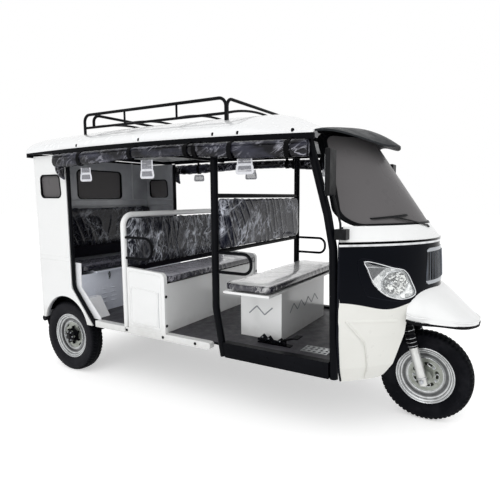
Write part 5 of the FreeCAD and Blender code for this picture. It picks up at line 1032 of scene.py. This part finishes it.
def grille_enamel():
    """Grille casting: pale grey lips at top and bottom, near-black slats with worn bright edges between."""
    made = material("grille_enamel", Metallic=0.5, Roughness=0.26)
    z = axis(made, "Z")
    lips = [add(made, "MapRange", [z, *limits]) for limits in ((1.012, 1.016), (0.86, 0.856))]
    worn = add(made, "MapRange", [cloud(made, 0.03, 4, (1, 1, 0.2)), 0.45, 0.7])
    paint(made, worn, "#3a3f48", "#0f1217")
    paint(made, add(made, "Math", lips, operation="MAXIMUM"), "#a3a7ac")
    relief(made, cloud(made, 0.004), 0.0002, 0.4)
    return made


CORNER_ENAMEL = enamel("corner_panel_enamel", "#e1e1dc", "#cfcfc8", (0.26, 0.38), coat=0.3)
finish(WHITE, "cowl_top", "front_fender")
finish(CORNER_ENAMEL, "corner_panels")
finish(strip_chrome(), "nose_strip")
finish(enamel("navy_black_gloss", "#02040b", "#050812", (0.08, 0.16), coat=0.04, specular=0.04), "nose_band")
finish(grille_enamel(), "grille")
CREASES = (((0.345, 0.664), (0.545, 0.681)), ((0.545, 0.681), (0.465, 0.554), (0.420, 0.350)))
presses, slats = [], []
for side in (-1, 1):
    for line in CREASES:
        steps = np.linspace(0, len(line) - 1, 16)
        out, height = (np.interp(steps, np.arange(len(line)), values) for values in zip(*line))
        presses.append(bar(nose_at(side * out, height, -0.0005), 0.010, (1, 0, 0.01), 0.22))
surface("corner_panel_pressings", presses, CORNER_ENAMEL, sharp=80)
levels = np.linspace(GRILLE_LOW, GRILLE_HIGH, 24)
for y in np.linspace(-GRILLE_HALF, GRILLE_HALF, GRILLE_SLATS):
    taper = np.interp(levels, (GRILLE_LOW, GRILLE_HIGH), (1.06, 0.99))
    slats.append(bar(nose_at(y * taper, levels, 0.0075), 0.0016, AHEAD))
surface("grille_slat_edges", slats, bright_metal("grille_edge", "#6f747c", 0.3))

# Headlamps: clear teardrop lenses with a chrome rim over a faceted round reflector and a bulb shield.
# Behind each the housing is bright with painted facet reflections on its inner side and black in its upper
# outer corner.
# Thin black gaskets close the joints round the lenses and along the panels' rear edges.
LAMP_Y, LAMP_Z, LAMP_WIDE, LAMP_HIGH = 0.3815, 0.883, 0.1065, 0.103
LAMP_SHARES = [(1, 1), (0.033, 0.631), (-0.512, 0.427), (-0.831, -0.165), (-1, -0.825), (-0.286, -1),
               (0.39, -0.67), (0.793, -0.019), (0.953, 0.573)]
DISH_Y, DISH_Z, DISH_RADIUS, DISH_DEEP, DISH_BACK = 0.350, 0.862, 0.062, 0.040, 0.021
SHELF = ((-0.02, 0.0085), (0.10, 0.016), (0.3, 0.020), (0.7, 0.020), (1, 0.022), (1, 0.024), (-0.02, 0.0105))
BULB_SHIELD = [(0.010, 0), (0.011, 0.018), (0.009, 0.027), (0.005, 0.031), (0.001, 0.032)]
SURROUND = [(0.507, 0.993), (0.491, 0.832), (0.449, 0.794), (0.296, 0.760), (0.270, 0.800), (0.292, 0.860),
            (0.33, 0.935), (0.40, 0.960)]
HOUSING_SLANT, HOUSING_CORNER = 0.9, 1.243
PANEL_REAR, PANEL_LOW, PANEL_HIGH = 2.1323, 0.345, 1.155


def reflector_chrome(name, dark, bright, cell):
    """Vacuum-plated plastic: facets a few millimetres wide, each coloured dark or bright as a painted
    reflection.
    """
    made = material(name, Metallic=1.0, Roughness=0.12)
    facet = add(made, "TexVoronoi", {"Vector": place(made), "Scale": 1 / cell}, "Distance")
    shade = add(made, "SeparateColor", [facet.node.outputs["Color"]])
    # Painted reflection: each facet gets a dark or bright colour.
    paint(made, add(made, "MapRange", [shade, 0.25, 0.75]), bright, dark)
    relief(made, facet, 0.002, 0.5)
    return made


def housing_chrome():
    """Plated housing, black where |y| + slant z passes the line that cuts off its upper outer corner."""
    made = reflector_chrome("lamp_housing_chrome", "#9a9d9c", "#e8eae9", 0.030)
    out = add(made, "Math", [axis(made, "Y")], operation="ABSOLUTE")
    rise = add(made, "Math", [axis(made, "Z"), HOUSING_SLANT], operation="MULTIPLY")
    past = add(made, "Math", [out, rise], operation="ADD")
    past = add(made, "Math", [past, HOUSING_CORNER], operation="SUBTRACT")
    paint(made, add(made, "MapRange", [past, 0.0, 0.006]), "#08090b")
    return made


def lamp_places(y, z, deep, side):
    """Places a given depth behind the nose's face, on one side of the vehicle."""
    places = nose_at(y, z)
    places[..., 0] = places[..., 0] - np.asarray(deep)
    return places * np.array([1, side, 1])


def dish_places(radius, angle, deep, side):
    """Places round the dish's middle: (Y + r cos t, Z + r sin t) at a depth."""
    return lamp_places(DISH_Y + radius * np.cos(angle), DISH_Z + radius * np.sin(angle), deep, side)


shelves, dishes, rims, shields, gaskets, rear_gaskets = [], [], [], [], [], []
wide, high = through([(LAMP_Y + a * LAMP_WIDE, LAMP_Z + u * LAMP_HIGH) for a, u in LAMP_SHARES]).T
away = np.arctan2(high - DISH_Z, wide - DISH_Y)
round_y, round_z = DISH_Y + DISH_RADIUS * np.cos(away), DISH_Z + DISH_RADIUS * np.sin(away)
radius, angle = np.linspace(1, 0.02, 9)[:, None], circle(28)[None, :]
brow_y, brow_z = np.linspace(0.475, 0.292, 20), np.linspace(0.955, 0.912, 20)
surround = through(SURROUND)
heights = np.linspace(PANEL_LOW, PANEL_HIGH, 30)
behind = np.clip((nose_at(0, heights)[:, 0] - PANEL_REAR) / NOSE_SWEEP, 0, 0.985)
for side in (-1, 1):
    rows = [lamp_places(wide + (round_y - wide) * share, high + (round_z - high) * share, deep, side)
            for share, deep in SHELF]
    shelves.append((np.array(rows), "ring"))
    bowl = dish_places(DISH_RADIUS * radius, angle, DISH_BACK + DISH_DEEP * (1 - radius ** 2), side)
    back = radius[::-1]
    outside = dish_places((DISH_RADIUS + 0.002) * back, angle, 0.0235 + DISH_DEEP * (1 - back ** 2), side)
    dishes.append((np.concatenate([bowl, outside]), "ring"))
    loop = lamp_places(wide + (LAMP_Y - wide) * 0.012, high + (LAMP_Z - high) * 0.012, -0.0062, side)
    rims.append(bar(loop, 0.0028, AHEAD, closed=True))
    rims.append(bar(dish_places(DISH_RADIUS, circle(60), 0.020, side), 0.0026, AHEAD, closed=True))
    brow = lamp_places(brow_y, brow_z + 0.010 * np.sin(np.linspace(0, np.pi, 20)), 0.014, side)
    rims.append(bar(brow, 0.0022, AHEAD))
    facing = unit(np.array([1, side * 0.8, 0.05]))
    shields.append(turned(BULB_SHIELD, lamp_places(DISH_Y, DISH_Z, 0.058, side), facing, 20))
    line = lamp_places(surround[:, 0], surround[:, 1], -0.0002, side)
    gaskets.append(bar(line, 0.0030, AHEAD, 0.5, closed=True))
    edge = np.stack([0 * heights + PANEL_REAR, side * NOSE_HALF * np.sqrt(behind), heights], -1)
    rear_gaskets.append(bar(edge, 0.006))
# The dish's dark and bright facets are painted reflections.
DISH_CHROME = reflector_chrome("lamp_dish_chrome", "#3b3c38", "#dfe1de", 0.011)
SHIELD_CHROME = bright_metal("bulb_shield_chrome", "#c7c9cb", 0.16)
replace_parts(surface("headlamp_housings", shelves, housing_chrome()), "headlamp_bowls")
surface("headlamp_dishes", dishes, DISH_CHROME, sharp=8)
surface("headlamp_rims", rims, bright_metal("lamp_rim_chrome", "#d9dbdd", 0.12))
surface("headlamp_bulb_shields", shields, SHIELD_CHROME)
LENS = material("lamp_polycarbonate", Base_Color="#eef1f4", Roughness=0.03, Alpha=0.10,
                Specular_IOR_Level=0.5)
relief(LENS, cloud(LENS, 0.01, 2), 0.0001, 0.2)
finish(LENS, "headlamp_lenses")
GASKET = coated_steel("lamp_gasket", "#101219", (0.3, 0.4))
surface("headlamp_gaskets", gaskets + rear_gaskets, GASKET)

# Mudguard edging, mirrors, wiper, tail lamps and number plate.
# The mudguard's skirts end in a rolled black rubber edge; mirror and wiper are black moulded plastic.
FENDER_TIP, FENDER_HALF, FENDER_FOOT, FENDER_DROP = 2.752, 0.316, 0.618, 0.049
FENDER_ROOT = 2.539 - NOSE_SWEEP * (FENDER_HALF / NOSE_HALF) ** 2
FENDER_PLACES = (0, 0.35, 0.7, 0.92, 1)
FENDER_WIDTH_SHARES, FENDER_LOW_SHARES = (1, 0.92, 0.66, 0.36, 0.14), (1, 0.69, 0.286, 0.04, 0)
CREASE_UP, CREASE_SPREAD = 0.024, 0.012
MIRROR_OUTLINE = ((0.570, 1.318), (0.652, 1.318), (0.652, 1.532), (0.570, 1.532))
MIRROR_FACES = (2.0852, 2.0868)
PRISM = 1 / 110
finish(moulded_plastic("black_plastic", "#08090b", 0.36, 0.003, 0.0003, "#1b1c20"), "mirrors", "wiper")
along = np.linspace(0, 1, 60)
width = FENDER_HALF * np.polyval(np.polyfit(FENDER_PLACES, FENDER_WIDTH_SHARES, 4), along)
rise = np.polyval(np.polyfit(FENDER_PLACES, FENDER_LOW_SHARES, 4), along)
low = FENDER_FOOT + FENDER_DROP * rise
edge = np.stack([FENDER_ROOT + (FENDER_TIP - FENDER_ROOT) * along, -width + 0.0035, low - 0.006], -1)
lift = CREASE_UP + CREASE_SPREAD * (low - FENDER_FOOT) / FENDER_DROP
crease = edge + np.stack([0 * along, 0 * along - 0.0025, lift], -1)
crease_bar, hem_bar = (bar(np.concatenate([line, mirrored(line)[::-1]]), thick, UP, flat, 10)
                       for line, thick, flat in ((crease, 0.0045, 1.0), (edge, 0.0042, 2.0)))
surface("mudguard_crease", [crease_bar], WHITE)
surface("mudguard_edging", [hem_bar], rubber("edge_rubber", "#0a0a0c"))
mirror_faces = []
for side in (-1, 1):
    outline = rounded([(0.0, side * y, z) for y, z in MIRROR_OUTLINE], 0.03, True)
    mirror_faces.append((np.array([outline + (x, 0, 0) for x in MIRROR_FACES]), "tube"))
MIRROR_GLASS = bright_metal("silvered_glass", "#dfe3e6", 0.05, 0.05)
surface("mirror_glasses", mirror_faces, MIRROR_GLASS)


def red_lens():
    """Red tail lamp plastic with small moulded prisms in rows, 9 mm apart."""
    made = material("red_lamp_plastic", Coat_Weight=1.0, Coat_Roughness=0.04, Roughness=0.2)
    prism = add(made, "TexVoronoi", {"Vector": place(made), "Scale": 1 / PRISM, "Randomness": 0.0})
    paint(made, prism, "#c42a26", "#8c0d10")
    relief(made, prism, 0.001, 0.6)
    return made


finish(red_lens(), "tail_lamps")
finish(bright_metal("plate_aluminium", "#c9cbcd", 0.34), "number_plate")

# Studio: a pale floor, a large soft lamp over the near side, weaker ones ahead and low, a white world.
# The camera stands where the photograph was taken from.
FRAME_PIXELS, FOCAL_PIXELS, CENTRE = 500, 438.47, (273.79, 249.34)
EYE, EYE_PITCH, EYE_YAW = (1.6698, -2.6185, 1.3115), 83.0688, 28.6598
SENSOR = 36
FLOOR_HALF = 30
LAMPS = (("key", (1.5, -5.5, 6.0), (42, 0, 14), 6.0, 140), ("fill", (6.5, -1.0, 3.2), (64, 0, 80), 5.0, 40),
         ("low", (0.8, -6.5, 1.0), (88, 0, 6), 4.0, 70))


def seen(made):
    """1 for rays that show the surface itself, straight or by gloss or glass, and 0 for those that light."""
    rays = add(made, "LightPath").node.outputs
    direct = add(made, "Math", [rays["Is Camera Ray"], rays["Is Glossy Ray"]], operation="MAXIMUM")
    return add(made, "Math", [direct, rays["Is Transmission Ray"]], operation="MAXIMUM")


for thing in [o for o in bpy.data.objects if o.type in ("LIGHT", "CAMERA") or o.name == "Cube"]:
    bpy.data.objects.remove(thing)
floor_mesh = bpy.data.meshes.new("floor")
floor_mesh.from_pydata([(x * FLOOR_HALF, y * FLOOR_HALF, 0) for x, y in ((-1, -1), (1, -1), (1, 1), (-1, 1))],
                       [], [(0, 1, 2, 3)])
linked("floor", floor_mesh)
PAPER = material("floor_paper", Base_Color="#fbfbfb", Roughness=0.9, Specular_IOR_Level=0.0,
                 Emission_Color="#ffffff")
plug(PAPER, Emission_Strength=add(PAPER, "Math", [seen(PAPER), 0.42], operation="MULTIPLY"))
floor_mesh.materials.append(PAPER)
for name, spot, turn, size, power in LAMPS:
    lamp = linked(name, bpy.data.lights.new(name, "AREA"))
    lamp.data.size, lamp.data.energy = size, power
    lamp.location, lamp.rotation_euler = spot, [math.radians(a) for a in turn]
world = bpy.data.worlds.new("studio")
world.use_nodes = True
bpy.context.scene.world = world
back = world.node_tree.nodes["Background"].inputs
back["Color"].default_value = srgb("#ffffff")
world.node_tree.links.new(add(world, "MapRange", [seen(world), 0, 1, 0.72, 1.0]), back["Strength"])
eye = linked("camera", bpy.data.cameras.new("camera"))
eye.data.sensor_width, eye.data.lens = SENSOR, FOCAL_PIXELS / FRAME_PIXELS * SENSOR
eye.data.shift_x = (FRAME_PIXELS / 2 - CENTRE[0]) / FRAME_PIXELS
eye.data.shift_y = (CENTRE[1] - FRAME_PIXELS / 2) / FRAME_PIXELS
eye.location, eye.rotation_euler = EYE, (math.radians(EYE_PITCH), 0, math.radians(EYE_YAW))
bpy.context.scene.camera = eye
bpy.context.scene.view_settings.view_transform = "Standard"
